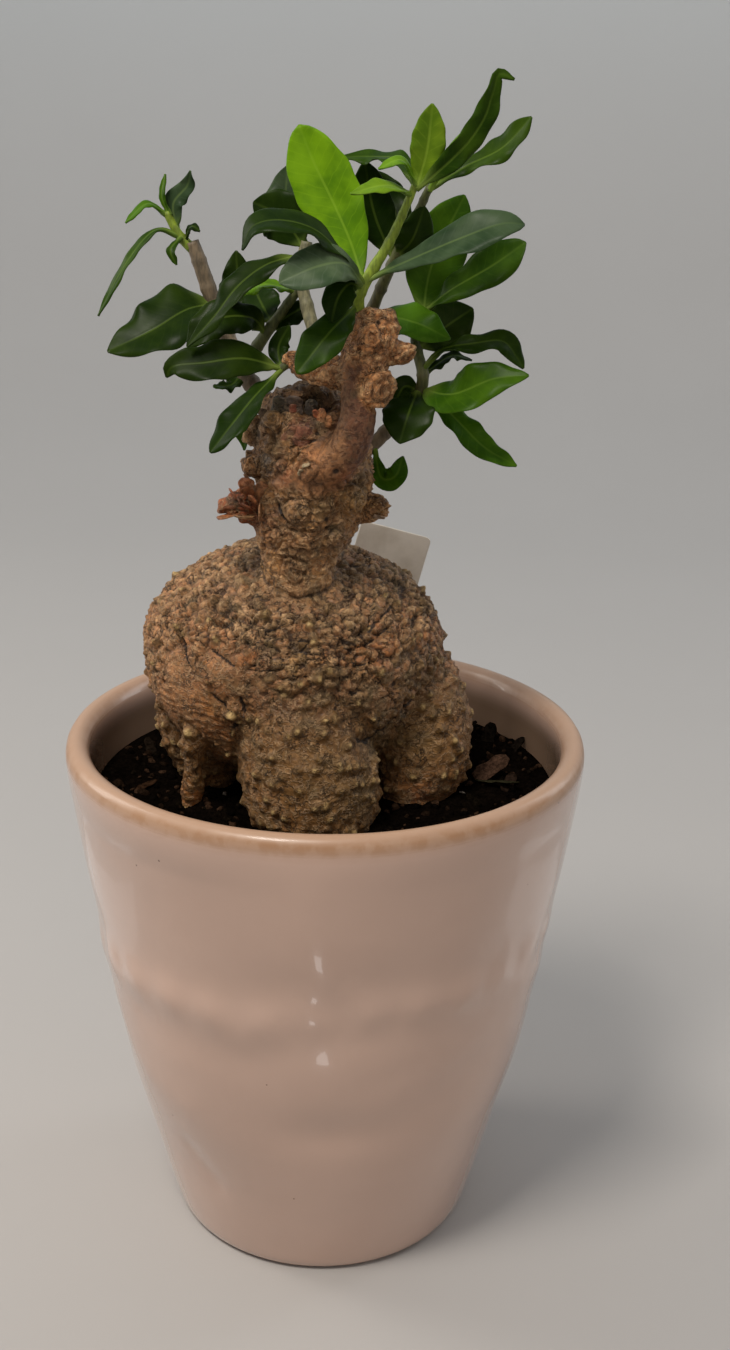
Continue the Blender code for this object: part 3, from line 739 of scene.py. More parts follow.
@dataclass(frozen=True)
class SoilFinish:
    """Dark crumbly potting mix, near-black partly as painted shade inside the pot; lumps, chips and grains
    carry their own colours.
    """

    dark: Colour = (0.32, 0.30, 0.30)
    light: Colour = (1.3, 1.22, 1.15)

    def material(self) -> bpy.types.Material:
        """The mix as a material.

        Returns:
            The material.
        """
        g = Graph("potting_mix")
        own = g.layer("tone").outputs["Color"]
        grain = g.noise(1.2, 5, 0.7)
        tone = g.mix(g.step(grain, 0.3, 0.7), g.times(own, self.dark), g.times(own, self.light))
        return g.done(Base_Color=tone, Roughness=1.0, Specular_IOR_Level=0.0,
                      Normal=g.bump(grain, 0.9, 1.0))


@dataclass(frozen=True)
class TagFinish:
    """Matte pale plastic, a little dusty."""

    body: Colour = (0.66, 0.60, 0.53)
    dust: Colour = (0.52, 0.46, 0.39)

    def material(self) -> bpy.types.Material:
        """The plastic as a material.

        Returns:
            The material.
        """
        g = Graph("pale_tag_plastic")
        tone = g.mix(g.step(g.noise(9, 4), 0.35, 0.75), self.body, self.dust)
        return g.done(Base_Color=tone, Roughness=0.55, Normal=g.bump(g.noise(0.8, 2), 0.03, 0.4))


@dataclass(frozen=True)
class FloorFinish:
    """Plain pale matte floor, a little cooler and lighter where it sweeps up, as painted light on the rising
    backdrop.
    """

    body: Colour = (0.42, 0.40, 0.385)
    shade: Colour = (0.405, 0.385, 0.37)
    far: Colour = (0.56, 0.60, 0.62)

    def material(self) -> bpy.types.Material:
        """The floor as a material.

        Returns:
            The material.
        """
        g = Graph("pale_floor")
        height = g.node("SeparateXYZ", {0: g.place}).outputs[2]
        tone = g.mix(g.noise(140, 2), self.body, self.shade)
        # Lighter and cooler higher up: painted light on the rising backdrop
        return g.done(Base_Color=g.mix(g.step(height, 0.1, 1.0), tone, self.far), Roughness=0.75)


# Pot


@dataclass
class Pot:
    """The dented ceramic cup: a turned profile pressed in by soft dents and creases."""

    outer: tuple[Point, ...] = (
        (46.0, 0.0), (48.6, 1.8), (51.3, 11.0), (55.0, 25.0), (59.6, 42.0), (64.6, 61.0), (68.6, 85.0),
        (71.8, 107.0), (74.9, 125.0), (77.4, 142.0), (79.2, 157.0), (78.8, 163.2), (76.0, 165.2),
        (73.0, 163.6), (71.8, 159.5))
    inner: tuple[Point, ...] = (
        (71.2, 150.0), (67.0, 118.0), (61.5, 84.0), (55.5, 52.0), (48.0, 22.0), (40.0, 10.0))
    sides: int = 240
    row_step: float = 1.7
    lip_height: float = 161.0
    # Angle round the pot from the front, height, reach in degrees, reach in height, depth
    dents: tuple[Point, ...] = (
        (-50, 128, 20, 30, 1.9), (50, 118, 15, 36, 2.1), (6, 112, 34, 13, 1.5), (10, 62, 28, 12, 1.3),
        (-44, 32, 20, 16, 1.3), (38, 80, 22, 16, 1.0), (118, 108, 24, 30, 1.8), (-126, 96, 28, 22, 1.6),
        (178, 62, 32, 18, 1.4), (168, 132, 24, 24, 1.3), (86, 46, 22, 18, 1.2), (-88, 66, 22, 20, 1.2),
        (-26, 134, 17, 23, 1.1), (23, 136, 18, 24, 1.1), (2, 61, 11, 7, 0.9))
    # Soft ridges and valleys: their line in degrees and height, width and height of the relief
    creases: tuple[tuple[tuple[Point, ...], float, float], ...] = (
        (((-75, 96), (-61, 98), (-47, 101), (-36, 102), (-25, 101), (-17, 99), (-8, 107), (0, 116), (6, 112),
          (13, 109), (30, 106), (47, 102), (60, 97), (75, 93)), 6.0, 0.6),
        (((-50, 88), (-36, 89), (-20, 88), (-8, 92), (6, 97), (20, 98), (34, 96), (50, 90)), 7.5, -0.5),
        (((-3, 156), (-3, 140), (-2, 124)), 7.0, 0.35),
        (((50, 90), (43, 86), (29, 80), (14, 71)), 7.0, 0.35),
        (((-44, 41), (-36, 30)), 5.0, -0.5),
        (((-70, 82), (-60, 70), (-40, 62)), 7.0, 0.4),
        (((110, 118), (140, 104), (175, 112), (-150, 98), (-118, 108)), 6.0, 0.7))

    def press(self, degrees: np.ndarray, height: np.ndarray) -> np.ndarray:
        """How far the outside is pressed in, in millimetres.

        A sum of bell curves in angle and height, less the ridges, faded out at the foot
        and at the lip.

        Args:
            degrees: angle round the pot from the front.
            height: height above the base.

        Returns:
            The depth at each place.
        """
        total = np.zeros_like(degrees)
        for at, level, reach, tall, depth in self.dents:
            turn = (degrees - at + 180) % 360 - 180
            total += depth * np.exp(-((turn / reach) ** 2) - ((height - level) / tall) ** 2)
        turn = (degrees + 180) % 360 - 180
        for line, width, rise in self.creases:
            route = along(smooth_route(tuple((a * 1.2, z, 0) for a, z in line), 10), 40)
            place = np.stack([turn * 1.2, height], axis=-1)
            away = np.min(np.linalg.norm(place[..., None, :] - route[:, :2], axis=-1), axis=-1)
            total -= rise * np.exp(-((away / width) ** 2))
        return total * np.clip(height / 14, 0, 1) * np.clip((160 - height) / 12, 0, 1)

    def skin(self) -> Skin:
        """The whole wall: outside, lip, inside and floor, as one closed surface.

        Returns:
            The skin, with its layers.
        """
        outside = smooth_route(tuple((r, z, 0.0) for r, z in self.outer + self.inner), 10)
        steps = np.linalg.norm(np.diff(outside, axis=0), axis=1).sum()
        profile = along(outside, round(steps / self.row_step))
        radius, height = profile[:, 0], profile[:, 1]
        lip = int(np.argmax(height))
        degrees = np.arange(self.sides) * 360 / self.sides
        turn, tall = np.meshgrid(degrees, height)
        pressed = self.press(turn, tall) * (np.arange(len(height)) <= lip)[:, None]
        reach = radius[:, None] - pressed
        angle = np.radians(turn)
        rings = np.stack([reach * np.sin(angle), -reach * np.cos(angle), tall], axis=2)
        past = np.arange(len(height)) - lip
        bright = smoothstep(self.lip_height - 2.5, self.lip_height + 1.5, height) * smoothstep(6, 1, past)
        worn = np.exp(-(((past + 2.2) / 1.1) ** 2)) + 0.5 * np.exp(-(((past - 2.5) / 1.0) ** 2))
        skin = carried(rings).plus("lip", spread(bright, self.sides))
        # Share of the darker inside tone, from a few rows past the lip: painted shade on the inner wall,
        # partly a browner glaze
        within = smoothstep(3, 8, past)
        return skin.plus("edge", spread(worn, self.sides)).plus("inside", spread(within, self.sides))

    def make(self) -> None:
        """Build and dress the pot."""
        settle(make_piece("pot_wall", self.skin(), [GlazeFinish().material()]), "glaze", "pot")


# Flakes


@dataclass(frozen=True)
class Flake:
    """A thin curled piece of bark or dry leaf.

    It starts at its root, grows along its way and faces its face, and has a length, a
    width, a curl and a tone.
    """

    root: Place
    way: Place
    face: Place
    long: float
    wide: float
    curl: float
    tone: Colour

    def skin(self) -> Skin:
        """An oval section carried along a bending strip that narrows at both ends.

        The strip's height is curl times the square of the share along it, and its section
        is cupped by the square of the share across.

        Returns:
            The skin, with its layers.
        """
        way = unit(np.asarray(self.way, float))
        side = unit(np.cross(way, np.asarray(self.face, float)))
        face = np.cross(side, way)
        t = np.linspace(0, 1, 14)[:, None]
        angle = np.linspace(0, 2 * math.pi, 14, endpoint=False)[None]
        half = 0.5 * self.wide * np.sin(math.pi * (0.10 + 0.84 * t)) ** 0.6 * (1 + 0.15 * np.sin(9 * t))
        across = half * np.cos(angle)
        lift = 0.28 * np.sin(angle) + self.curl * t**2 + 0.22 * self.wide * (across / self.wide) ** 2
        points = (np.array(self.root) + (self.long * t * np.ones_like(angle))[..., None] * way
                  + across[..., None] * side + lift[..., None] * face)
        ragged = 0.35 * noise(points.reshape(-1, 3), 2.2, 9).reshape(across.shape)
        skin = carried(points + ragged[..., None] * face)
        streak = 0.75 + 0.5 * (0.5 + 0.5 * noise(skin.points, 1.8, 10))
        skin.plus("tone", np.array(self.tone)[None] * streak[:, None])
        return skin.plus("wart", NO_WART).plus("smooth", LOOSE_SMOOTH)


# Caudex


@dataclass(frozen=True)
class Patch:
    """A soft round area of bark: its middle, its reach, and how strong it is."""

    middle: Place
    reach: float
    strength: float
    tone: Colour = (0, 0, 0)

    def over(self, p: np.ndarray) -> np.ndarray:
        """The patch's share at each point: a bell curve of the distance."""
        away = np.linalg.norm(p - np.array(self.middle), axis=1)
        return self.strength * np.exp(-((away / self.reach) ** 2))


@dataclass(frozen=True)
class Groove:
    """A crease or crack: its line over the bark, its width and its depth."""

    line: tuple[Point, ...]
    width: float
    depth: float


@dataclass(frozen=True)
class Scar:
    """A round branch scar with rings: its middle, its radius and how far it stands out."""

    middle: Place
    radius: float
    relief: float


class Limb(Enum):
    """The limbs of the caudex: route points, each with the radius there."""

    FRONT_FOOT = ((-8.5, -11, 198, 14), (-8, -17, 186, 19), (-7, -21, 174, 20.2), (-5, -23, 161, 20.6),
                  (-3.5, -24, 151, 20), (-3, -24, 145, 17.5), (-3, -24, 138, 15))
    RIGHT_FOOT = ((18, 4, 188, 14), (24, 2, 177, 17), (28.5, 0, 166, 16.5), (29, -2, 157, 15.5),
                  (28, -3, 150, 13.8), (27, -3, 144, 11.5), (27, -3, 138, 9.5))
    LEFT_FOOT = ((-33, 7, 186, 15), (-36.5, 7, 172, 16.6), (-37, 7, 160, 14.4), (-36, 7, 151, 11.4),
                 (-35.5, 7, 145, 9.6), (-35.5, 7, 138, 8))
    BACK_FOOT = ((0, 26, 182, 16), (2, 31, 170, 16.5), (3, 33, 158, 15), (3, 33, 149, 13),
                 (3, 33, 144, 11), (3, 33, 138, 9.5))
    ROOT_STUB = ((-38, -15, 178, 3.5), (-38.5, -18.5, 170, 4.2), (-39.4, -17.5, 162, 3.2),
                 (-40, -16, 155, 2.9), (-40.5, -15, 149, 3.4), (-40.5, -15, 145, 3.0))
    NECK = ((-8.5, -12, 204, 11.6), (-8.5, -12, 215, 11.5), (-8.6, -12, 224, 11.4),
            (-7.4, -11, 231, 14.6), (-6, -10, 239, 15.6), (-4.2, -10, 247, 16.4), (-5, -10, 255, 16.6),
            (-7, -9, 262, 14.8), (-8.5, -8, 267, 11))
    ARM = ((-10, -17, 248, 6.4), (-2, -22, 251.5, 6.5), (4.0, -25.4, 257, 5.9), (7.1, -26, 264, 5.3),
           (7.9, -25, 271, 5.0), (8.6, -23, 278, 5.9), (10.4, -21, 285, 7.1), (11.6, -20, 290, 7.3),
           (11.8, -19.5, 294.5, 5.6))
    ARM_KNOB = ((9, -21, 276, 4.6), (12.2, -25, 275, 5.2), (14.4, -28.6, 274.3, 5.0))
    ARM_SCAR = ((10.6, -22, 287.6, 3.8), (10.4, -28.4, 287.8, 3.4))
    ARM_RIGHT_BUMP = ((13, -20, 284, 4.6), (19.5, -19.5, 283, 3.4), (22, -19, 283.5, 2.2))
    LEFT_KNOB = ((8, -22, 277, 4.6), (1.5, -19.5, 276.6, 4.6), (-4.4, -18, 277.4, 4.2),
                 (-8.2, -16.8, 279, 3.1), (-11, -16, 280.4, 2.2))
    LEFT_STUB = ((-15, -11, 237, 6.4), (-22, -13, 238.2, 5.4), (-26, -14, 239, 4.2), (-30, -15, 238, 2.0))
    LEFT_TWIG = ((-22, -12, 240, 1.4), (-24.6, -13, 245.4, 0.8))
    RIGHT_STUB = ((6, -10, 237, 5.4), (12, -10.5, 237.6, 4.2), (16.4, -11, 237.6, 2.8))

    def rings(self, count: int) -> np.ndarray:
        """The limb's rings at even steps, rounded off at its free end.

        The last rings follow a quarter of an ellipse, so that the end is a dome.

        Args:
            count: how many rings along the route.

        Returns:
            One row for each ring: its middle and its radius.
        """
        rings = along(smooth_route(self.value, 8), count)
        if self in (Limb.ARM_KNOB, Limb.ARM_SCAR, Limb.ARM):
            return rings
        way = unit(rings[-1:, :3] - rings[-2:-1, :3])
        angle = np.linspace(0.25, 0.95, 4)[:, None] * math.pi / 2
        radius = rings[-1, 3]
        dome = np.hstack([rings[-1, :3] + way * radius * 0.6 * np.sin(angle), radius * np.cos(angle)])
        return np.vstack([rings, dome])

    def away(self, p: np.ndarray) -> np.ndarray:
        """Distance from each point to the limb's plain surface, in millimetres.

        Args:
            p: points.

        Returns:
            One distance for each point, less than 0 inside.
        """
        rings = along(smooth_route(self.value, 6), 22)
        reach = np.linalg.norm(p[:, None] - rings[None, :, :3], axis=2)
        return np.min(reach - rings[:, 3], axis=1)


LOW_LIMBS = (Limb.FRONT_FOOT, Limb.RIGHT_FOOT, Limb.LEFT_FOOT, Limb.BACK_FOOT, Limb.ROOT_STUB)


@dataclass(frozen=True)
class BarkTones:
    """Ground colours of the bark, and the factor that warms them all."""

    ground: Colour = (0.215, 0.140, 0.080)
    ground_ruddy: Colour = (0.285, 0.160, 0.090)
    olive: Colour = (0.120, 0.100, 0.052)
    ochre: Colour = (0.33, 0.145, 0.050)
    # Lighter tan for the globe's left side: painted light falling from the left
    lit_left_side: Colour = (0.40, 0.235, 0.125)
    foot: Colour = (0.135, 0.085, 0.034)
    foot_light: Colour = (0.255, 0.150, 0.068)
    neck: Colour = (0.20, 0.115, 0.055)
    neck_light: Colour = (0.33, 0.205, 0.105)
    neck_moss: Colour = (0.085, 0.072, 0.045)
    neck_gold: Colour = (0.40, 0.255, 0.105)
    arm: Colour = (0.090, 0.041, 0.024)
    arm_light: Colour = (0.135, 0.068, 0.040)
    arm_pale: Colour = (0.27, 0.165, 0.085)
    cork: Colour = (0.42, 0.235, 0.11)
    cork_dark: Colour = (0.27, 0.135, 0.062)
    stub: Colour = (0.20, 0.065, 0.022)
    # Pale tan for crests: partly paler bark, partly painted highlight
    crest: Colour = (0.52, 0.40, 0.26)
    # Near-black for hollows: painted shade
    crack: Colour = (0.022, 0.011, 0.005)
    warmth: Colour = (1.17, 0.95, 0.72)


@dataclass
class Bark:
    """The bark over some points of the plain body, built up part by part.

    Height is in millimetres. Crests, soft hollows (crack) and thin grooves (a layer of their own)
    run from 0 to 1; crests are coloured lighter, partly as painted highlight, and hollows and
    grooves darker, as painted shade. Mark is a number from 0 to 1 that belongs to each dome, and
    wart the distance to the nearest wart's tip in millimetres.
    """

    p: np.ndarray
    share: dict[str, np.ndarray]

    def __post_init__(self) -> None:
        """Start with plain bark, and work out the patterns that several parts use."""
        p = self.p
        self.height, self.crest, self.crack, self.split = np.zeros((4, len(p)))
        bends = [0.9 * noise(p, 5, 40 + k) + 0.4 * noise(p, 1.9, 43 + k) for k in range(3)]
        self.bent = p + np.column_stack(bends)
        self.coarse = cloudy(p, 1.7, 58, 2)
        waved = p[:, 2] + 1.6 * noise(p, 9, 31) + 0.6 * noise(p, 3, 32)
        self.wrinkle = np.sin(waved * 2 * math.pi / 2.1) * (0.5 + 0.5 * noise(p, 6, 33))
        self.flaky = np.abs(noise(self.bent * (1, 1, 1.7), 2.1, 50))
        near, _, mark = cobbles(self.bent, 2.1, 27, 0.7)
        self.pebble = smoothstep(0.65, 0.1, near) * mark

    def lighten(self, where: np.ndarray) -> None:
        """Mark crests, coloured lighter and partly painted highlight, where the value is higher than what is
        there.
        """
        self.crest = np.maximum(self.crest, where)

    def paint_shade(self, where: np.ndarray) -> None:
        """Mark painted shade in soft hollows where the value is higher than what is there."""
        self.crack = np.maximum(self.crack, where)

    def globe(self, calm: tuple[Patch, ...]) -> None:
        """Low domes on scattered seeds with gaps between, worm-like ridges high up, level wrinkles.

        A dome's height is the root of one less the square of the distance to its seed.

        Args:
            calm: places where the bark is smoother.
        """
        p, on_globe = self.p, self.share["globe"]
        near, far, self.mark = cobbles(self.bent, 3.1, 3, 0.86)
        gap = smoothstep(0.16, 0.02, far - near)
        dome = np.sqrt(np.clip(1 - (near / 0.74) ** 2, 0, 1))
        worm = np.clip(1 - 2.4 * np.abs(noise(self.bent * (0.8, 0.8, 1.5), 3.1, 46)), 0, 1)
        quiet = 1 - np.clip(sum(patch.over(p) for patch in calm), 0, 0.97)
        high = smoothstep(186, 206, p[:, 2])
        strong = (0.45 + 0.3 * smoothstep(168, 184, p[:, 2]) + 0.25 * high) * (1 + 0.4 * noise(p, 9, 47))
        on = on_globe * quiet * strong
        self.height += on_globe * (0.8 * noise(p, 13, 34) + 0.2 * self.coarse
                                   + 0.22 * self.wrinkle * (1.3 - high))
        self.height += on * (1.45 * dome * (0.45 + 0.6 * self.mark) + 0.6 * worm * high - 0.8 * gap - 0.6)
        # Dome tops and high ridges lighter: partly painted highlight
        tops = smoothstep(0.45, 1.0, dome * (0.5 + 0.6 * self.mark))
        self.lighten(0.9 * on * np.maximum(tops, 0.8 * worm * high))
        # Gaps between domes and their low edges darker: painted shade
        self.paint_shade(on * np.maximum(gap, smoothstep(0.45, 0.1, dome)))
        self.lively = on_globe * quiet
        self.fibre = np.clip(self.share["feet"] + on_globe * (1.15 - quiet * strong), 0, 1)

    def warts(self, knobs: tuple[Patch, ...]) -> None:
        """Single warts on the globe and the feet: some cells' seeds, and the placed knobs.

        Args:
            knobs: the placed warts.
        """
        p, feet = self.p, self.share["feet"]
        near, _, mark = cobbles(p, 5.0, 12)
        wart = np.where((mark > 0.3) & (self.lively > 0.35) & (p[:, 2] < 212), near * 5.0, NO_WART)
        near, _, mark = cobbles(p, 4.5, 19)
        wart = np.minimum(wart, np.where((mark > 0.15) & (feet > 0.5), near * 4.5, NO_WART))
        for knob in knobs:
            wart = np.minimum(wart, np.linalg.norm(p - np.array(knob.middle), axis=1) * 1.6 / knob.reach)
        self.wart = wart + 0.25 * noise(p, 1.6, 35)
        bulge = 0.95 * smoothstep(2.6, 0.8, self.wart) + 0.5 * smoothstep(1.2, 0.3, self.wart)
        self.height += (feet + self.share["globe"]) * bulge
        for knob in knobs:
            self.height += 0.5 * knob.over(p) * (1 + 0.3 * self.coarse)

    def feet(self) -> None:
        """Fine pebbles and level creases, which are deeper near the soil."""
        p, feet = self.p, self.share["feet"]
        creased = self.wrinkle * (0.25 + 0.75 * smoothstep(170, 156, p[:, 2]))
        self.height += feet * (0.5 * self.pebble + 0.16 * creased + 0.4 * self.coarse
                               + 0.6 * noise(p, 8, 36) - 0.35)
        # Feet darker in the low parts of creases: painted shade
        self.paint_shade(feet * smoothstep(0.25, 0.9, -creased + 0.3 * self.coarse) * 0.5)

    def neck(self) -> None:
        """Flaky ridges, knobs and hollows, and a raised lip round the collar."""
        p, neck, bent = self.p, self.share["neck"], self.bent
        ridge = np.clip(1 - 2.3 * np.abs(noise(bent * (1, 1, 1.9), 4.2, 49)), 0, 1)
        near, _, mark = cobbles(bent, 5.0, 51, 0.8)
        knobby = smoothstep(0.5, 0.12, near) * smoothstep(0.35, 0.8, mark)
        hollow = smoothstep(0.25, 0.6, noise(bent, 3.4, 56))
        rough = 0.55 + 0.45 * smoothstep(218, 228, p[:, 2])
        self.height += neck * rough * (0.7 * ridge + 0.7 * self.flaky + 0.9 * knobby + 0.35 * self.pebble
                                       + 0.4 * self.coarse - 0.55 * hollow - 0.7)
        lip = neck * smoothstep(221, 217.5, p[:, 2] - 0.12 * (p[:, 1] + 12))
        self.height += 0.9 * lip
        # Raised collar lip, ridges and knobs lighter: partly painted highlight
        self.lighten(0.6 * lip * smoothstep(0.2, 0.8, lip))
        self.lighten(neck * np.clip(0.75 * ridge + 0.8 * knobby + self.flaky - 0.5, 0, 1))
        # Neck darker in hollows and low flakes: painted shade
        self.paint_shade(neck * np.maximum(0.45 * hollow, smoothstep(0.10, 0.0, self.flaky) * 0.6))

    def arm(self) -> None:
        """Fine rings, pores and long waves on the arm, cork on its ends, shreds on the stub."""
        p, arm, cork, stub = self.p, self.share["arm"], self.share["cork"], self.share["stub"]
        pore = smoothstep(0.3, 0.8, noise(p * (1, 1, 0.6), 1.5, 71))
        rings = np.abs(noise(p * (0.5, 0.5, 1.5), 2.6, 74))
        self.height += arm * (0.10 * noise(p, 1.2, 72) + 0.25 * noise(p, 6, 73) + 0.14 * rings + 0.1 * pore)
        self.lighten(arm * pore * 0.35)
        # Arm darker along the low rings: painted shade
        self.paint_shade(arm * smoothstep(0.06, 0.0, rings) * 0.3)
        self.height += cork * (0.7 * cloudy(p, 3.2, 81) + 0.8 * self.flaky + 0.3 * self.coarse - 0.2)
        self.lighten(cork * (0.2 + 0.8 * smoothstep(0.1, 0.6, self.flaky)))
        # Cork darker between flakes: painted shade
        self.paint_shade(cork * smoothstep(0.1, 0.0, self.flaky) * 0.75)
        shred = np.abs(noise(p * (0.7, 0.7, 1.6), 2.4, 91))
        self.height += stub * (1.5 * shred - 0.6)
        # Stub darker between shreds: painted shade
        self.paint_shade(stub * smoothstep(0.25, 0.0, shred))
        self.smooth = 0.75 * arm

    def scar(self, scar: Scar) -> None:
        """A round cut end: rings that are a cosine of the distance, on a dome in a sunk rim.

        Args:
            scar: the scar.
        """
        p = self.p
        away = np.linalg.norm(p - np.array(scar.middle), axis=1)
        away = away + 1.1 * noise(p, 3.0, 95) + 0.4 * noise(p, 1.3, 97)
        inside = smoothstep(scar.radius, scar.radius * 0.7, away)
        waves = np.cos(away * 2 * math.pi / (scar.radius * 0.40))
        dome = np.sqrt(np.clip(1 - (away / scar.radius) ** 2, 0, 1))
        rim = np.exp(-(((away - 1.08 * scar.radius) / 0.5) ** 2))
        self.height = self.height * (1 - 0.5 * inside)
        self.height += inside * 0.25 * waves + scar.relief * dome - 0.5 * rim
        self.crack = self.crack * (1 - 0.5 * inside)
        # Scar darker in the ring troughs and the sunk rim: painted shade
        self.paint_shade(inside * smoothstep(-0.4, -0.95, waves) * 0.5)
        self.paint_shade(0.6 * rim * min(1.0, scar.relief))
        self.crest = self.crest * (1 - 0.5 * inside)
        # Ring crests lighter: partly painted highlight
        self.lighten(inside * smoothstep(0.1, 0.9, waves) * 0.5)

    def groove(self, groove: Groove) -> None:
        """A cut along a line: a narrow bell curve of the distance on a wide shallow one.

        Args:
            groove: the groove.
        """
        away = line_distance(self.p, groove.line) + 0.25 * noise(self.p, 1.8, 96)
        depth = np.exp(-((away / groove.width) ** 2))
        fold = np.exp(-((away / (4.5 * groove.width)) ** 2))
        self.height -= groove.depth * (depth + 0.5 * fold)
        # Darker line along the groove: painted shade
        dark = smoothstep(0.15, 0.85, depth) * min(1.0, groove.depth - 0.2)
        self.split = np.maximum(self.split, dark)
        # Darker over the groove's wide fold: painted shade
        self.paint_shade(0.3 * fold)

    def seams(self) -> None:
        """Thin seams on the globe, where a point is as near to one large cell's seed as the next."""
        near, far, _ = cobbles(self.bent, 10.5, 63, 0.5)
        seam = smoothstep(0.07, 0.0, far - near) * smoothstep(-0.1, 0.35, noise(self.p, 14, 64))
        seam = seam * self.share["globe"] * smoothstep(222, 206, self.p[:, 2])
        self.height -= 0.9 * seam
        # Dark line along the sunk seam: painted shade
        self.split = np.maximum(self.split, 0.9 * seam)

    def pit(self, pit: Patch) -> None:
        """A sunk place, dark inside where it is small, as painted shade.

        Args:
            pit: the pit.
        """
        depth = pit.over(self.p)
        self.height -= depth
        # Small pits dark inside: painted shade
        self.split = np.maximum(self.split, 0.95 * depth / pit.strength * (pit.reach < 2.5))


@dataclass
class Caudex:
    """The grown body: globe, feet, neck and arm fused, then given warts, cracks and colour."""

    globe: Place = (-10.0, 6.0, 190.0)
    wide: float = 45.6
    deep: float = 42.5
    up: float = 32.0
    down: float = 40.0
    tones: BarkTones = BarkTones()
    body_voxel: float = 0.68
    neck_voxel: float = 0.42
    # Balls fused into the neck: middle and radius
    neck_bumps: tuple[Point, ...] = (
        (-20.6, -12, 250, 4.2), (-20.6, -10, 259.4, 4.4), (-14.8, -18.5, 262, 4.0), (8.6, -13, 246, 4.6),
        (3.5, -12, 262, 4.2), (-15.8, -7.5, 266.4, 3.4), (-6.5, -20, 233.5, 4.4), (-12, -4, 267.2, 3.4),
        (-2.6, -4.4, 265.6, 3.6))
    # Creases and cracks: line, width and depth
    grooves: tuple[Groove, ...] = (
        Groove(((-43, -18, 204), (-42, -22, 199), (-40, -26, 194), (-36, -30, 190), (-32, -31, 186),
                (-29, -32, 184)), 0.7, 1.1),
        Groove(((-33, -28, 200), (-29, -31, 198), (-25, -34, 196), (-22, -36, 193)), 0.7, 1.0),
        Groove(((-25, -34, 187), (-24, -34, 184), (-24, -34, 180), (-27, -31, 177)), 0.8, 1.6),
        Groove(((-19, -8, 222), (-19, -15, 219), (-18, -19, 217), (-14, -23, 216), (-9, -23.5, 214),
                (-4, -22.5, 215), (1, -19, 216), (3, -14, 218), (3, -5, 220)), 0.95, 0.8),
        Groove(((10, -32, 174), (13, -27, 172), (17, -23, 173), (20, -23, 175), (24, -20, 178),
                (28, -16, 181)), 1.2, 1.6),
        Groove(((-21, -36, 188), (-17, -37, 186), (-10, -38, 185), (-4, -38, 184), (2, -36, 185),
                (7, -34, 181)), 1.4, 0.7),
        Groove(((-8, -32, 204), (-2, -32, 205), (3, -31, 204), (9, -30, 202)), 0.6, 1.2),
        Groove(((10, -26, 206), (14, -26, 204), (18, -21, 205)), 0.55, 1.0),
        Groove(((-18, -32, 205), (-15, -34, 202), (-10, -35, 201)), 0.5, 0.9),
        Groove(((-23, -35, 192), (-17, -37, 191), (-12, -37, 192)), 0.5, 0.8),
        Groove(((-11, -37, 189), (-6, -37, 189), (-1, -37, 190)), 0.5, 0.8),
        Groove(((5, -31, 202), (9, -29, 201), (14, -26, 203)), 0.5, 1.0),
        Groove(((-15.5, -20, 245), (-15, -21.5, 242), (-14.3, -23.5, 239), (-13, -25, 236), (-12, -26, 234)),
               0.8, 1.6),
        Groove(((-10, -24.5, 257.5), (-6, -26, 259.5), (-2, -26, 261), (0.4, -24.5, 264),
                (1.8, -24, 268)), 0.8, 1.5),
        Groove(((-12, -25, 234), (-8, -25, 233.6), (-1, -25, 234.2), (4, -20, 235)), 0.45, 0.8),
        Groove(((11, -26, 252), (6, -27, 248), (1, -28, 247.4), (-2, -28, 248.5)), 0.5, 0.9))
    # Sunk places: middle, reach and depth
    pits: tuple[Patch, ...] = from_rows(Patch, (3, 1, 1), (
        (20, -26, 189, 1.2, 1.6), (3, -35, 185, 0.9, 1.2), (6, -34, 181, 1.0, 1.3),
        (-9, -24, 221, 0.9, 1.2), (2, -30, 252, 1.3, 1.2), (13, -26, 292, 1.2, 1.3),
        (-6, -18, 269, 4.2, 4.2), (-2, -19, 269.5, 3.4, 3.8), (-8, -23, 264.5, 3.6, 2.2),
        (-3, -25, 262, 1.0, 1.4), (-9, -9, 269, 4.5, 5.0), (0, -17.5, 269, 2.2, 2.2),
        (-18, -13, 259, 1.4, 1.6), (-14, -22, 249, 1.2, 1.3), (9, -17, 250, 1.3, 1.4),
        (0, -24, 237, 0.9, 1.0)))
    # Places with few domes: middle, reach and strength
    calm: tuple[Patch, ...] = from_rows(Patch, (3, 1, 1), (
        (-31, -31, 197, 5.0, 0.95), (-38, -27, 180, 11, 0.9), (-41, -22, 191, 8, 0.85),
        (-47, -13, 178, 10, 0.75), (18, -28, 183, 9, 0.85), (5, -37, 187, 7, 0.6), (-24, -33, 191, 6, 0.85),
        (22, -26, 192, 6, 0.5), (-10, -38, 187, 6, 0.4)))
    # Placed warts: middle, reach and height
    knobs: tuple[Patch, ...] = from_rows(Patch, (3, 1, 1), (
        (-27, -33, 182, 2.6, 2.6), (-40, -22, 172, 2.2, 1.4), (-8, -40, 180, 1.6, 1.2),
        (-1, -39, 179, 1.7, 1.2), (-2, -41, 172, 1.5, 1.1), (8, -37, 168, 1.7, 1.1),
        (13, -33, 162, 1.5, 1.0), (2, -36, 183, 1.8, 1.2), (15, -28, 177, 2.0, 1.3),
        (15, -27, 166, 1.7, 1.1), (-3, -44, 158, 1.4, 0.9), (-18, -37, 175, 1.4, 0.9),
        (-15, -40, 172, 1.3, 0.8)))
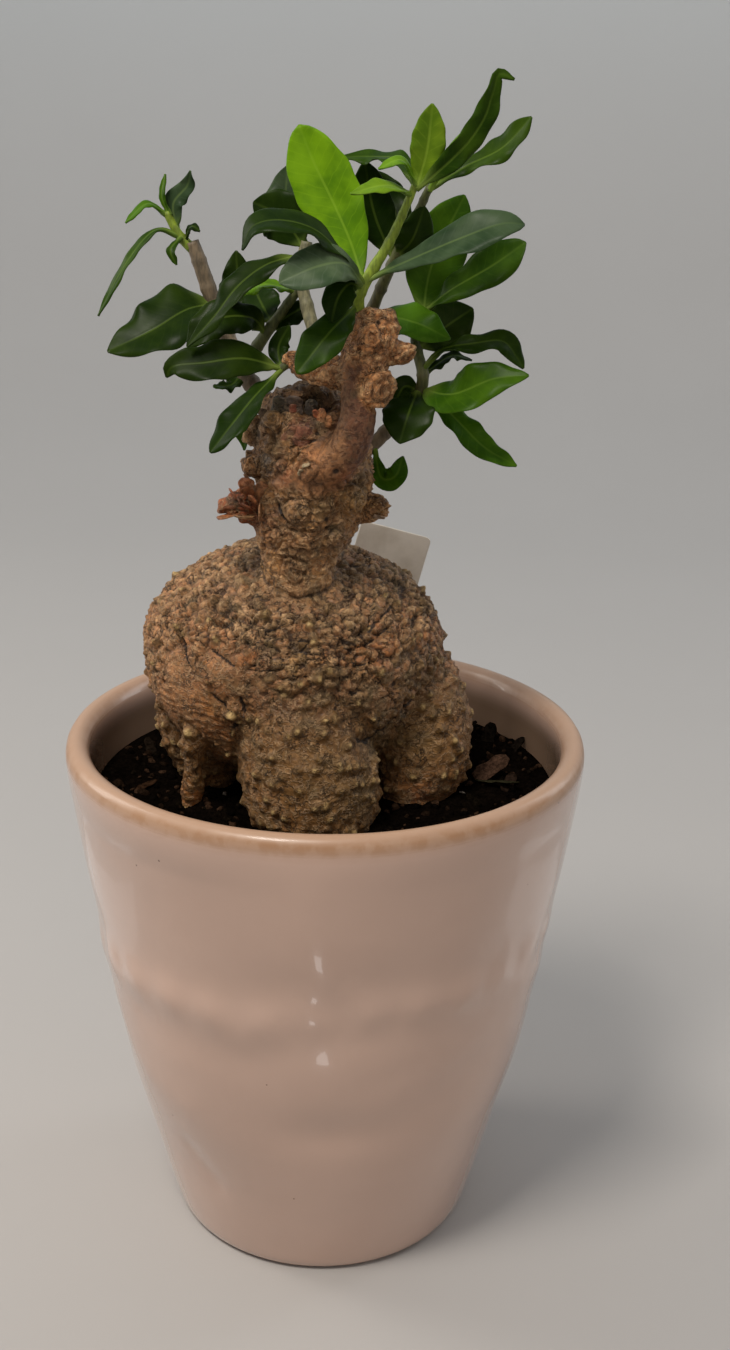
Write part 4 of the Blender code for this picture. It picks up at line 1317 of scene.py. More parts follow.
    # Cut ends: middle, radius and how far they stand out
    scars: tuple[Scar, ...] = from_rows(Scar, (3, 1, 1), (
        (-10, -23, 222, 3.6, 0.5), (-9, -25, 240, 3.8, 0.9), (7, -20, 242, 4.6, 2.2),
        (-6, -28, 252, 3.0, 1.5), (11, -28.5, 288, 4.2, 0.3), (14.6, -29.5, 274.3, 5.6, 0.3),
        (13, -14, 239, 3.0, 0.6), (-15, -21.5, 264.5, 3.2, 1.8), (-17, -21, 258, 2.6, 1.3),
        (-21, -15.5, 250.5, 3.6, 1.2), (-3, -26, 246, 2.4, 0.8), (-16, -22, 231, 2.4, 0.8),
        (3, -23, 247, 2.0, 1.2), (-10, -26, 256, 2.0, 1.1), (2, -21, 231, 2.6, 0.9),
        (-14, -24, 253, 1.8, 1.0), (-4, -25, 234.5, 2.0, 0.7), (-19, -17, 245.5, 1.9, 0.9)))
    # Peeled bark: root, way, face, length, width, curl and tone
    flakes: tuple[Flake, ...] = from_rows(Flake, (3, 3, 3, 1, 1, 1, 3), (
        (-22, -17, 236.5, -0.5, -0.7, -0.2, 0, 0.2, 1, 5.0, 6.0, 1.6, 0.36, 0.20, 0.09),
        (-19, -19, 238, 0.1, -0.9, 0.2, -1, -0.2, 0.1, 4.2, 6.0, 0.8, 0.34, 0.17, 0.08),
        (-25, -16, 237, -0.9, -0.4, -0.3, 0.1, 0, 1, 6.8, 4.2, 0.8, 0.33, 0.12, 0.05),
        (-25, -15, 240, -0.7, -0.5, 0.6, 0.6, 0.1, 0.8, 5.0, 5.0, 1.4, 0.26, 0.085, 0.035),
        (-22, -16, 242, -0.3, -0.5, 0.85, 0.2, 0.9, 0.2, 5.6, 5.5, 1.2, 0.30, 0.11, 0.045),
        (-19, -17, 241, 0.1, -0.4, 0.9, 0.3, 0.9, 0.2, 5.8, 4.6, 0.6, 0.32, 0.14, 0.06),
        (-20, -17, 243, -0.55, -0.15, 0.8, 0.4, 0.8, 0.3, 6.6, 1.8, 0.4, 0.20, 0.10, 0.05),
        (-22.5, -18, 239, -0.4, -0.9, 0.2, 0.3, 0, 1, 3.6, 4.4, 1.0, 0.20, 0.06, 0.025),
        (-21, -18.5, 240.5, -0.2, -0.9, 0.5, 0.6, 0.3, 1, 3.4, 3.6, 0.9, 0.36, 0.13, 0.05),
        (-24, -17.5, 240, -0.5, -0.8, 0.4, 1, 0, 0.6, 3.4, 3.4, 0.8, 0.14, 0.045, 0.02),
        (-14, -17, 264, 0.15, -0.2, 0.95, 0.3, 0.9, 0, 7.0, 5.5, -1.0, 0.040, 0.034, 0.028),
        (-10, -18, 264.5, 0.05, -0.15, 1.0, 0, 1, 0, 6.6, 6.0, -0.8, 0.075, 0.055, 0.044),
        (-10, -18.6, 266, 0.05, -0.15, 1.0, 0, 1, 0, 2.6, 2.4, -0.2, 0.15, 0.045, 0.025),
        (-5.5, -17, 264.5, 0.2, -0.15, 1.0, -0.2, 1, 0, 5.0, 4.0, 0.8, 0.04, 0.032, 0.026),
        (-17, -14, 262, -0.4, -0.1, 0.9, 0.5, 0.8, 0, 5.0, 4.0, -0.8, 0.10, 0.07, 0.045),
        (-2.4, -22.5, 261.5, 0.05, -0.1, 1.0, 0.2, 0.95, 0.1, 6.6, 3.0, 0.5, 0.40, 0.15, 0.055),
        (-0.6, -23.2, 263, 0.1, -0.3, 0.9, 0.6, 0.8, 0.2, 3.4, 2.4, 0.5, 0.44, 0.19, 0.075),
        (-3.4, -22, 265.4, -0.2, -0.4, 0.8, 0.2, 0.9, 0.4, 2.4, 2.2, 0.4, 0.34, 0.10, 0.04),
        (-12, -22.6, 258, 0.6, -0.25, 0.75, -0.1, 0.95, 0.3, 6.6, 5.0, 0.7, 0.22, 0.10, 0.055),
        (-8, -23.6, 257.6, 0.3, -0.2, 0.9, 0, 0.95, 0.25, 6.0, 5.5, 0.6, 0.19, 0.075, 0.042),
        (-18, -13, 248, -0.5, -0.6, 0.5, 0.5, -0.5, 0.6, 3.5, 3.0, 0.4, 0.34, 0.24, 0.14),
        (-14, -20, 247, 0.4, -0.85, 0.3, 0.2, 0.3, 0.9, 3.2, 2.6, 0.3, 0.25, 0.21, 0.16),
        (13, -15, 236, 0.9, -0.4, -0.1, 0.3, 0.5, 0.8, 3.2, 3.6, 0.3, 0.28, 0.20, 0.14),
        (-4.6, -27, 250, -0.3, -0.6, 0.7, 0.1, -0.8, -0.6, 2.6, 1.8, 0.3, 0.38, 0.33, 0.22),
        (-8, -26.4, 250.6, 0.2, -0.6, 0.7, 0.1, -0.8, -0.6, 2.8, 1.6, 0.3, 0.34, 0.27, 0.17),
        (-7, -27.4, 253, 0.7, -0.6, 0.3, 0.1, -0.8, 0.6, 2.8, 1.6, 0.3, 0.36, 0.28, 0.17)))
    # Coloured places: middle, reach, strength and tone. The darkest ones round the hollow at the top of the
    # neck (z 263 to 269) are painted shade, over darker red-brown wood
    tints: tuple[Patch, ...] = from_rows(Patch, (3, 1, 1, 3), (
        (-22, -33, 200, 3.0, 0.8, 0.38, 0.16, 0.06), (-29, -28, 204, 3.0, 0.5, 0.33, 0.15, 0.07),
        (-34, -29, 183, 5.0, 0.8, 0.36, 0.19, 0.08), (20, -27, 186, 3.0, 0.8, 0.36, 0.18, 0.08),
        (-31, -31, 197, 4.5, 0.6, 0.36, 0.22, 0.12), (-49, -12, 199, 6.0, 0.5, 0.36, 0.22, 0.11),
        (-53, -8, 185, 8.0, 0.45, 0.36, 0.23, 0.12), (23, -24, 186, 4.0, 0.6, 0.33, 0.24, 0.15),
        (-7, -36, 199, 6.0, 0.35, 0.34, 0.24, 0.09), (-19, -36, 189, 2.5, 0.5, 0.33, 0.20, 0.14),
        (14, -30, 184, 8.0, 0.45, 0.30, 0.23, 0.15), (-24, -34, 190, 6.0, 0.4, 0.33, 0.24, 0.15),
        (30, -14, 149, 9.0, 0.75, 0.20, 0.10, 0.055), (-40, -16, 148, 5.0, 0.8, 0.36, 0.16, 0.06),
        (-2, -41, 168, 14.0, 0.35, 0.105, 0.095, 0.045), (10, -36, 158, 9.0, 0.5, 0.10, 0.10, 0.05),
        (15, -24, 170, 7.0, 0.55, 0.085, 0.09, 0.045), (28, -14, 168, 10.0, 0.45, 0.12, 0.11, 0.05),
        (-3, -22, 252, 9.0, 0.55, 0.34, 0.20, 0.11), (-14, -21, 265, 5.0, 0.6, 0.36, 0.27, 0.14),
        (-1, -21, 266, 3.5, 0.8, 0.34, 0.14, 0.06), (-8, -14, 268, 7.0, 0.8, 0.035, 0.03, 0.022),
        (-7, -22, 264, 4.5, 0.5, 0.12, 0.07, 0.05), (-9, -25, 240, 4.0, 0.5, 0.30, 0.22, 0.13),
        (-26, -18, 239, 7.0, 0.9, 0.24, 0.08, 0.035), (7, -20, 242, 4.2, 0.8, 0.42, 0.29, 0.115),
        (-17, -20, 252, 3.6, 0.8, 0.060, 0.066, 0.040), (-19, -15, 259, 3.4, 0.8, 0.050, 0.056, 0.038),
        (-2, -26, 240, 3.2, 0.6, 0.115, 0.115, 0.055), (3, -20, 229, 3.6, 0.6, 0.11, 0.10, 0.075),
        (9, -18, 249, 4.0, 0.7, 0.085, 0.080, 0.055), (-16.5, -19, 237, 3.6, 0.7, 0.17, 0.085, 0.070),
        (-6, -27, 256, 4.4, 0.8, 0.37, 0.19, 0.085), (-12, -24.5, 250, 3.0, 0.7, 0.30, 0.12, 0.06),
        (-8, -23.5, 263, 4.6, 0.95, 0.125, 0.050, 0.032), (-4, -18, 269, 5.2, 0.98, 0.012, 0.008, 0.006),
        (-4, -23, 264.5, 2.4, 0.9, 0.030, 0.014, 0.010), (4, -27, 250, 4.0, 0.6, 0.24, 0.10, 0.06)))

    def globe_skin(self) -> Skin:
        """The globe: an ellipsoid whose half-axis up differs from the one down.

        Its radius in a direction is one over the root of the summed squares of the
        direction's parts, each over its own half-axis.

        Returns:
            The globe's skin.
        """
        turn = np.linspace(0, 2 * math.pi, 96, endpoint=False)[None]
        tilt = (np.arange(1, 60) / 60 * math.pi)[:, None]
        ways = np.stack([np.sin(tilt) * np.cos(turn), np.sin(tilt) * np.sin(turn),
                         np.cos(tilt) * np.ones_like(turn)], axis=2)
        tall = np.where(ways[..., 2] > 0, self.up, self.down)
        reach = 1 / np.sqrt((ways[..., 0] / self.wide) ** 2 + (ways[..., 1] / self.deep) ** 2
                            + (ways[..., 2] / tall) ** 2)
        return carried(np.array(self.globe) + ways * reach[..., None])

    def bumps_skin(self) -> list[Skin]:
        """A ball for each bump of the neck, as a tube whose radius follows a half circle.

        Returns:
            One skin for each bump.
        """
        angle = np.linspace(0.06, 0.94, 14) * math.pi
        balls = [np.column_stack([np.full(14, x), np.full(14, y), z - r * np.cos(angle), r * np.sin(angle)])
                 for x, y, z, r in self.neck_bumps]
        return [tube(ball, 20) for ball in balls]

    def fused(self, name: str, skins: list[Skin], voxel: float) -> bpy.types.Object:
        """Plain bodies remeshed into one even skin.

        Args:
            name: the piece's name.
            skins: closed skins that overlap.
            voxel: the remesh's step in millimetres.

        Returns:
            The fused piece.
        """
        piece = make_piece(name, joined(skins), [])
        remesh = piece.modifiers.new("fuse", "REMESH")
        remesh.mode = "VOXEL"
        remesh.voxel_size = voxel * MM
        graph = bpy.context.evaluated_depsgraph_get()
        mesh = bpy.data.meshes.new_from_object(piece.evaluated_get(graph))
        piece.modifiers.clear()
        piece.data = mesh
        return piece

    def softened(self, p: np.ndarray, edges: np.ndarray, rounds: int) -> np.ndarray:
        """Points moved towards the mean of their neighbours, a few times over.

        Args:
            p: the points.
            edges: pairs of point numbers.
            rounds: how often.

        Returns:
            The moved points.
        """
        count = np.bincount(edges.ravel(), minlength=len(p))[:, None]
        for _ in range(rounds):
            total = np.column_stack([np.bincount(edges[:, 0], p[edges[:, 1], k], len(p))
                                     + np.bincount(edges[:, 1], p[edges[:, 0], k], len(p)) for k in range(3)])
            p = p + 0.5 * (total / count - p)
        return p

    def shares(self, p: np.ndarray) -> dict[str, np.ndarray]:
        """How much each point belongs to the feet, the neck, the arm and the cork ends.

        Args:
            p: points on the plain body.

        Returns:
            A share from 0 to 1 for each part, by its name.
        """
        def near(*limbs: Limb) -> np.ndarray:
            """A soft share for the points within 2.2 mm of the limbs' surface."""
            return np.max([smoothstep(2.2, 0.4, limb.away(p)) for limb in limbs], axis=0)

        arm = near(Limb.ARM) * smoothstep(244, 250, p[:, 2] - 0.35 * (p[:, 1] + 16))
        cork = near(Limb.ARM_KNOB, Limb.ARM_SCAR, Limb.ARM_RIGHT_BUMP, Limb.LEFT_KNOB)
        cork = np.maximum(cork, near(Limb.ARM) * smoothstep(279, 284, p[:, 2]))
        feet = near(*LOW_LIMBS)
        feet = feet * smoothstep(188, 178, p[:, 2])
        radial = np.linalg.norm(p[:, :2] - (-8.5, -12), axis=1)
        collar = smoothstep(14.0, 11.5, radial) * smoothstep(213.5, 216.5, p[:, 2] - 0.12 * p[:, 1])
        neck = np.maximum(smoothstep(221, 226, p[:, 2]), collar) * (1 - np.maximum(arm, cork))
        stub = near(Limb.LEFT_STUB, Limb.LEFT_TWIG) * smoothstep(-18, -22, p[:, 0])
        return {"feet": feet, "neck": neck * (1 - stub), "arm": arm * (1 - cork), "cork": cork, "stub": stub,
                "globe": np.clip(1 - feet - neck - arm - cork - stub, 0, 1)}

    def bark(self, p: np.ndarray, share: dict[str, np.ndarray]) -> Bark:
        """The bark over points on the plain body, with its scars, grooves and pits.

        Args:
            p: points on the plain body.
            share: how much each point belongs to each part.

        Returns:
            The bark's height and marks at each point.
        """
        bark = Bark(p, share)
        bark.globe(self.calm)
        bark.feet()
        bark.warts(self.knobs)
        bark.neck()
        bark.arm()
        for scar in self.scars:
            bark.scar(scar)
        for groove in self.grooves:
            bark.groove(groove)
        bark.seams()
        for pit in self.pits:
            bark.pit(pit)
        return bark

    def tone(self, bark: Bark) -> np.ndarray:
        """Bark colour at each point: part by part, tinted in places, a lighter left side as painted light,
        light crests partly as painted highlight, dark cracks and hollows as painted shade.

        Args:
            bark: the bark at the points.

        Returns:
            One colour for each point.
        """
        p, share, tones = bark.p, bark.share, self.tones
        drift = 0.5 + 0.5 * cloudy(p, 16, 101)
        mottle = 0.5 + 0.5 * cloudy(p, 5, 104)

        def between(a: Colour, b: Colour, part: np.ndarray) -> np.ndarray:
            """Two colours mixed by a share for each point."""
            return blend(np.tile(a, (len(p), 1)), b, part)

        tone = between(tones.ground, tones.ground_ruddy, drift)
        tone = blend(tone, tones.olive, 0.65 * smoothstep(0.3, 0.6, bark.mark) * share["globe"])
        warm = smoothstep(0.0, 0.45, noise(p, 8, 107)) * smoothstep(214, 200, p[:, 2])
        tone = blend(tone, tones.ochre, 0.5 * warm * share["globe"])
        # Globe lighter towards its left: painted light from the left
        left = smoothstep(-18, -46, p[:, 0]) * share["globe"]
        tone = blend(tone, tones.lit_left_side, 0.6 * left)
        tone = blend(tone, between(tones.foot, tones.foot_light, mottle), 0.9 * share["feet"])
        neck = between(tones.neck, tones.neck_light, mottle)
        neck = blend(neck, tones.neck_moss, 0.7 * smoothstep(0.1, 0.5, noise(p, 6.5, 108)))
        neck = blend(neck, tones.neck_gold, 0.6 * smoothstep(0.2, 0.6, noise(p, 5.0, 109)))
        tone = blend(tone, neck, 0.95 * share["neck"])
        arm = between(tones.arm, tones.arm_light, mottle)
        arm = blend(arm, tones.arm_pale, 0.5 * smoothstep(6.5, 2.5, p[:, 0]))
        tone = blend(tone, arm, share["arm"])
        tone = blend(tone, between(tones.cork, tones.cork_dark, mottle), share["cork"])
        tone = blend(tone, tones.stub, share["stub"])
        # Crests lighter: partly painted highlight
        tone = blend(tone, tones.crest, 0.6 * smoothstep(0.25, 1.0, np.clip(bark.crest, 0, 1)))
        for tint in self.tints:
            tone = blend(tone, tint.tone, np.clip(tint.over(p) * (0.6 + 0.7 * mottle), 0, 0.97))
        # Hollows darkened towards near-black: painted shade
        deep = blend(tone, tones.crack, 0.9 * np.clip(bark.crack, 0, 1))
        return deep * (0.9 + 0.2 * noise(p, 1.4, 111))[:, None] * tones.warmth

    def barked(self, piece: bpy.types.Object, finish: bpy.types.Material) -> None:
        """Soften a fused piece, raise its relief, colour it, and let it stand for the caudex.

        Args:
            piece: the fused piece.
            finish: the bark's material.
        """
        mesh = piece.data
        p = np.zeros(len(mesh.vertices) * 3, np.float32)
        mesh.vertices.foreach_get("co", p)
        edges = np.zeros(len(mesh.edges) * 2, np.int32)
        mesh.edges.foreach_get("vertices", edges)
        p = self.softened(p.reshape(-1, 3).astype(float) / MM, edges.reshape(-1, 2), 5)
        mesh.vertices.foreach_set("co", (p * MM).astype(np.float32).ravel())
        mesh.update()
        outward = np.zeros(len(p) * 3, np.float32)
        mesh.vertex_normals.foreach_get("vector", outward)
        share = self.shares(p)
        bark = self.bark(p, share)
        tone = self.tone(bark)
        p = p + outward.reshape(-1, 3) * bark.height[:, None]
        mesh.vertices.foreach_set("co", (p * MM).astype(np.float32).ravel())
        add_layer(mesh, "tone", np.clip(tone, 0, 1))
        for name in ("split", "wart", "fibre", "smooth"):
            add_layer(mesh, name, getattr(bark, name))
        mesh.materials.clear()
        mesh.materials.append(finish)
        mesh.shade_smooth()
        mesh.update()
        log.info("%s: %d points", piece.name, len(p))
        settle(piece, "bark", "caudex")

    def make(self) -> None:
        """Build the globe with its feet, then the neck with its arm, and dress both."""
        finish = BarkFinish().material()
        feet = [tube(limb.rings(26), 40) for limb in LOW_LIMBS]
        self.barked(self.fused("caudex_bark", [self.globe_skin(), *feet], self.body_voxel), finish)
        limbs = [tube(limb.rings(26), 40) for limb in Limb if limb not in LOW_LIMBS]
        self.barked(self.fused("neck_bark", [*limbs, *self.bumps_skin()], self.neck_voxel), finish)
        peels = joined([flake.skin() for flake in self.flakes])
        settle(make_piece("peeled_bark", peels, [finish]), "bark")


# Sprigs


class Tone(Enum):
    """Leaf and stem colours, by name; some paint light on leaves: light shining through from behind, and a
    sheen.
    """

    DARK = (0.011, 0.025, 0.002)
    MID = (0.021, 0.048, 0.003)
    # Bright green; on two leaves of the right sprig it paints light shining through from behind
    BRIGHT = (0.036, 0.092, 0.004)
    FRESH = (0.095, 0.185, 0.010)
    # Leaves lit from behind: painted light shining through the blade
    BACKLIT_YELLOW = (0.085, 0.200, 0.004)
    # Greyish green; on the long leaf reaching right from the front sprig it paints a sheen
    GREY = (0.036, 0.062, 0.028)
    # Painted sheen on a leaf's upper side
    SHEEN = (0.060, 0.090, 0.048)
    WOODY = (0.150, 0.112, 0.070)
    OLIVE = (0.075, 0.090, 0.022)
    GREEN = (0.175, 0.250, 0.014)
    PALE = (0.195, 0.185, 0.105)


@dataclass(frozen=True)
class Stem:
    """A round stem: its route, the radius at its foot and at its end, and its tones there."""

    route: tuple[Point, ...]
    foot: float
    end: float
    low: Tone = Tone.WOODY
    high: Tone = Tone.WOODY

    def skin(self) -> Skin:
        """A tube whose radius swells at the joints and runs down to the end.

        The radius is a straight run from foot to end, plus a small bell curve at each joint.

        Returns:
            The skin, with its layers.
        """
        route = smooth_route(self.route, 10)
        length = np.linalg.norm(np.diff(route, axis=0), axis=1).sum()
        count = max(8, round(length / 0.9))
        centre = along(route, count)
        t = np.linspace(0, 1, count)
        joint = np.exp(-(((t * length / 7.5) % 1 - 0.5) / 0.09) ** 2)
        radius = (self.foot + (self.end - self.foot) * t) * (0.96 + 0.13 * joint)
        skin = tube(np.column_stack([centre, radius]), STEM_SIDES)
        outward = unit(skin.points - spread(centre, STEM_SIDES))
        skin.points += 0.16 * outward * noise(skin.points, 2.2, 5)[:, None]
        tone = blend(np.tile(self.low.value, (len(skin.points), 1)), self.high.value,
                     spread(smoothstep(0.1, 0.8, t), STEM_SIDES))
        tone = blend(tone, np.array(self.low.value) * 0.55, 0.4 * spread(joint, STEM_SIDES))
        skin.plus("tone", tone).plus("under", 0.0).plus("blade", np.zeros((len(skin.points), 3)))
        skin.finish = 1
        return skin


@dataclass(frozen=True)
class Leaf:
    """A leaf: its route from the stem to the tip, its width, and the way it faces.

    Widest is where along the leaf it is widest, wave how far its edges wave, fullness how
    blunt its ends are (less is fuller), and fold how deep the V of its two halves is.
    """

    route: tuple[Point, ...]
    width: float
    face: Place
    widest: float = 0.52
    tone: Tone = Tone.DARK
    wave: float = 0.6
    stalk_share: float = 0.05
    fullness: float = 0.70
    fold: float = 0.2
    vein_step: float = 3.0

    def half_width(self, t: np.ndarray) -> np.ndarray:
        """Half the width along the leaf: a thin stalk, a sine bulge, and a small pointed tip.

        Args:
            t: share of the leaf's length, 0 to 1.

        Returns:
            Half the width at each place.
        """
        past = np.clip((t - self.stalk_share) / (1 - self.stalk_share), 0, 1)
        body = np.sin(math.pi * past ** (math.log(0.5) / math.log(self.widest))) ** self.fullness
        return np.maximum(0.5 * self.width * body, np.where(t < 0.5, 0.85, 0.3))

    def skin(self, seed: int) -> Skin:
        """The blade: a flat section, round at the stalk, carried along the midrib.

        The section is x = half width times cos a, and a height that is the blade's bend at
        x (a shallow V, edges rolled down and waved) plus the thickness, whose share is the
        root of 1 - |cos a| to a power: 2 at the round stalk and 10 out in the blade.

        Args:
            seed: picks the leaf's own waves.

        Returns:
            The leaf's skin, with its layers for the finish.
        """
        chance = np.random.default_rng(seed)
        rows, ring = 40, 40
        route = smooth_route(self.route, 14)
        length = np.linalg.norm(np.diff(route, axis=0), axis=1).sum()
        middle = along(route, rows)
        t = np.linspace(0, 1, rows)
        tangent = unit(np.gradient(middle, axis=0))
        side = unit(np.cross(tangent, np.asarray(self.face, float)))
        normal = np.cross(side, tangent)
        half = self.half_width(t)[:, None]
        angle = np.linspace(0, 2 * math.pi, ring, endpoint=False)[None]
        v = np.cos(angle)
        t = t[:, None]
        leafy = smoothstep(0.03, 0.22, t)
        power = 2 + 8 * leafy
        share = np.sqrt(np.clip(1 - np.abs(v) ** power, 0, 1)) * np.sign(np.sin(angle))
        ribbed = 0.42 * np.exp(-((v * half / 0.8) ** 2)) * (1 - t) ** 0.7
        thick = np.where(share < 0, 0.25 + ribbed, 0.25) * leafy + 0.75 * (1 - leafy)
        bend = self.fold * (np.sqrt(v**2 + 0.02) - 0.14) * half
        rolled = -0.10 * np.abs(v) ** 5 * half
        waves = chance.uniform(1.8, 3.2, 2)
        phase = chance.uniform(0, 2 * math.pi, 3)
        ripple = (np.sin(2 * math.pi * waves[0] * t + phase[0] + v)
                  + 0.6 * np.sin(2 * math.pi * waves[1] * 1.7 * t + phase[1] - 1.7 * v))
        ripple = self.wave * np.abs(v) ** 2.4 * ripple * np.sin(math.pi * np.clip(t, 0, 1)) ** 0.6
        lift = (bend + rolled + ripple) * leafy + share * thick
        edge = 1 + 0.025 * np.sin(2 * math.pi * 5 * t + phase[2]) * np.sign(v)
        rings = (middle[:, None] + side[:, None] * (half * v * edge)[..., None]
                 + normal[:, None] * lift[..., None])
        skin = carried(rings)
        across = (half * v * np.ones_like(t)).ravel()
        distance = (t * length * np.ones_like(v)).ravel()
        turn = (distance - 0.75 * np.abs(across)) / self.vein_step
        blade = np.column_stack([across, (t * np.ones_like(v)).ravel(), turn])
        blade = np.vstack([blade, blade[:1] * 0, [[0, 1, 0]]])
        under = (0.5 - 0.5 * np.tanh(share / 0.35)).ravel()
        tint = np.array(self.tone.value) * chance.uniform(0.85, 1.15) * chance.uniform(0.94, 1.06, 3)
        tone = np.tile(tint, (len(skin.points), 1))
        stalk = np.append(1 - leafy.repeat(ring, 1).ravel(), [1, 0])
        tone = blend(tone, (0.17, 0.25, 0.05), 0.6 * stalk)
        return skin.plus("tone", tone).plus("under", np.append(under, [0.5, 0.5])).plus("blade", blade)


@dataclass
class Sprig:
    """One leafy shoot: its stems and its leaves."""

    node: str
    stems: tuple[Stem, ...]
    leaves: tuple[Leaf, ...]

    def make(self, finishes: list[bpy.types.Material]) -> None:
        """Build and dress the shoot as one piece.

        Args:
            finishes: the materials of leaves and of stems.
        """
        skins = [stem.skin() for stem in self.stems]
        seed = sum(map(ord, self.node))
        skins += [leaf.skin(seed + k) for k, leaf in enumerate(self.leaves)]
        settle(make_piece(self.node + "_leaves", joined(skins), finishes), "foliage", self.node)


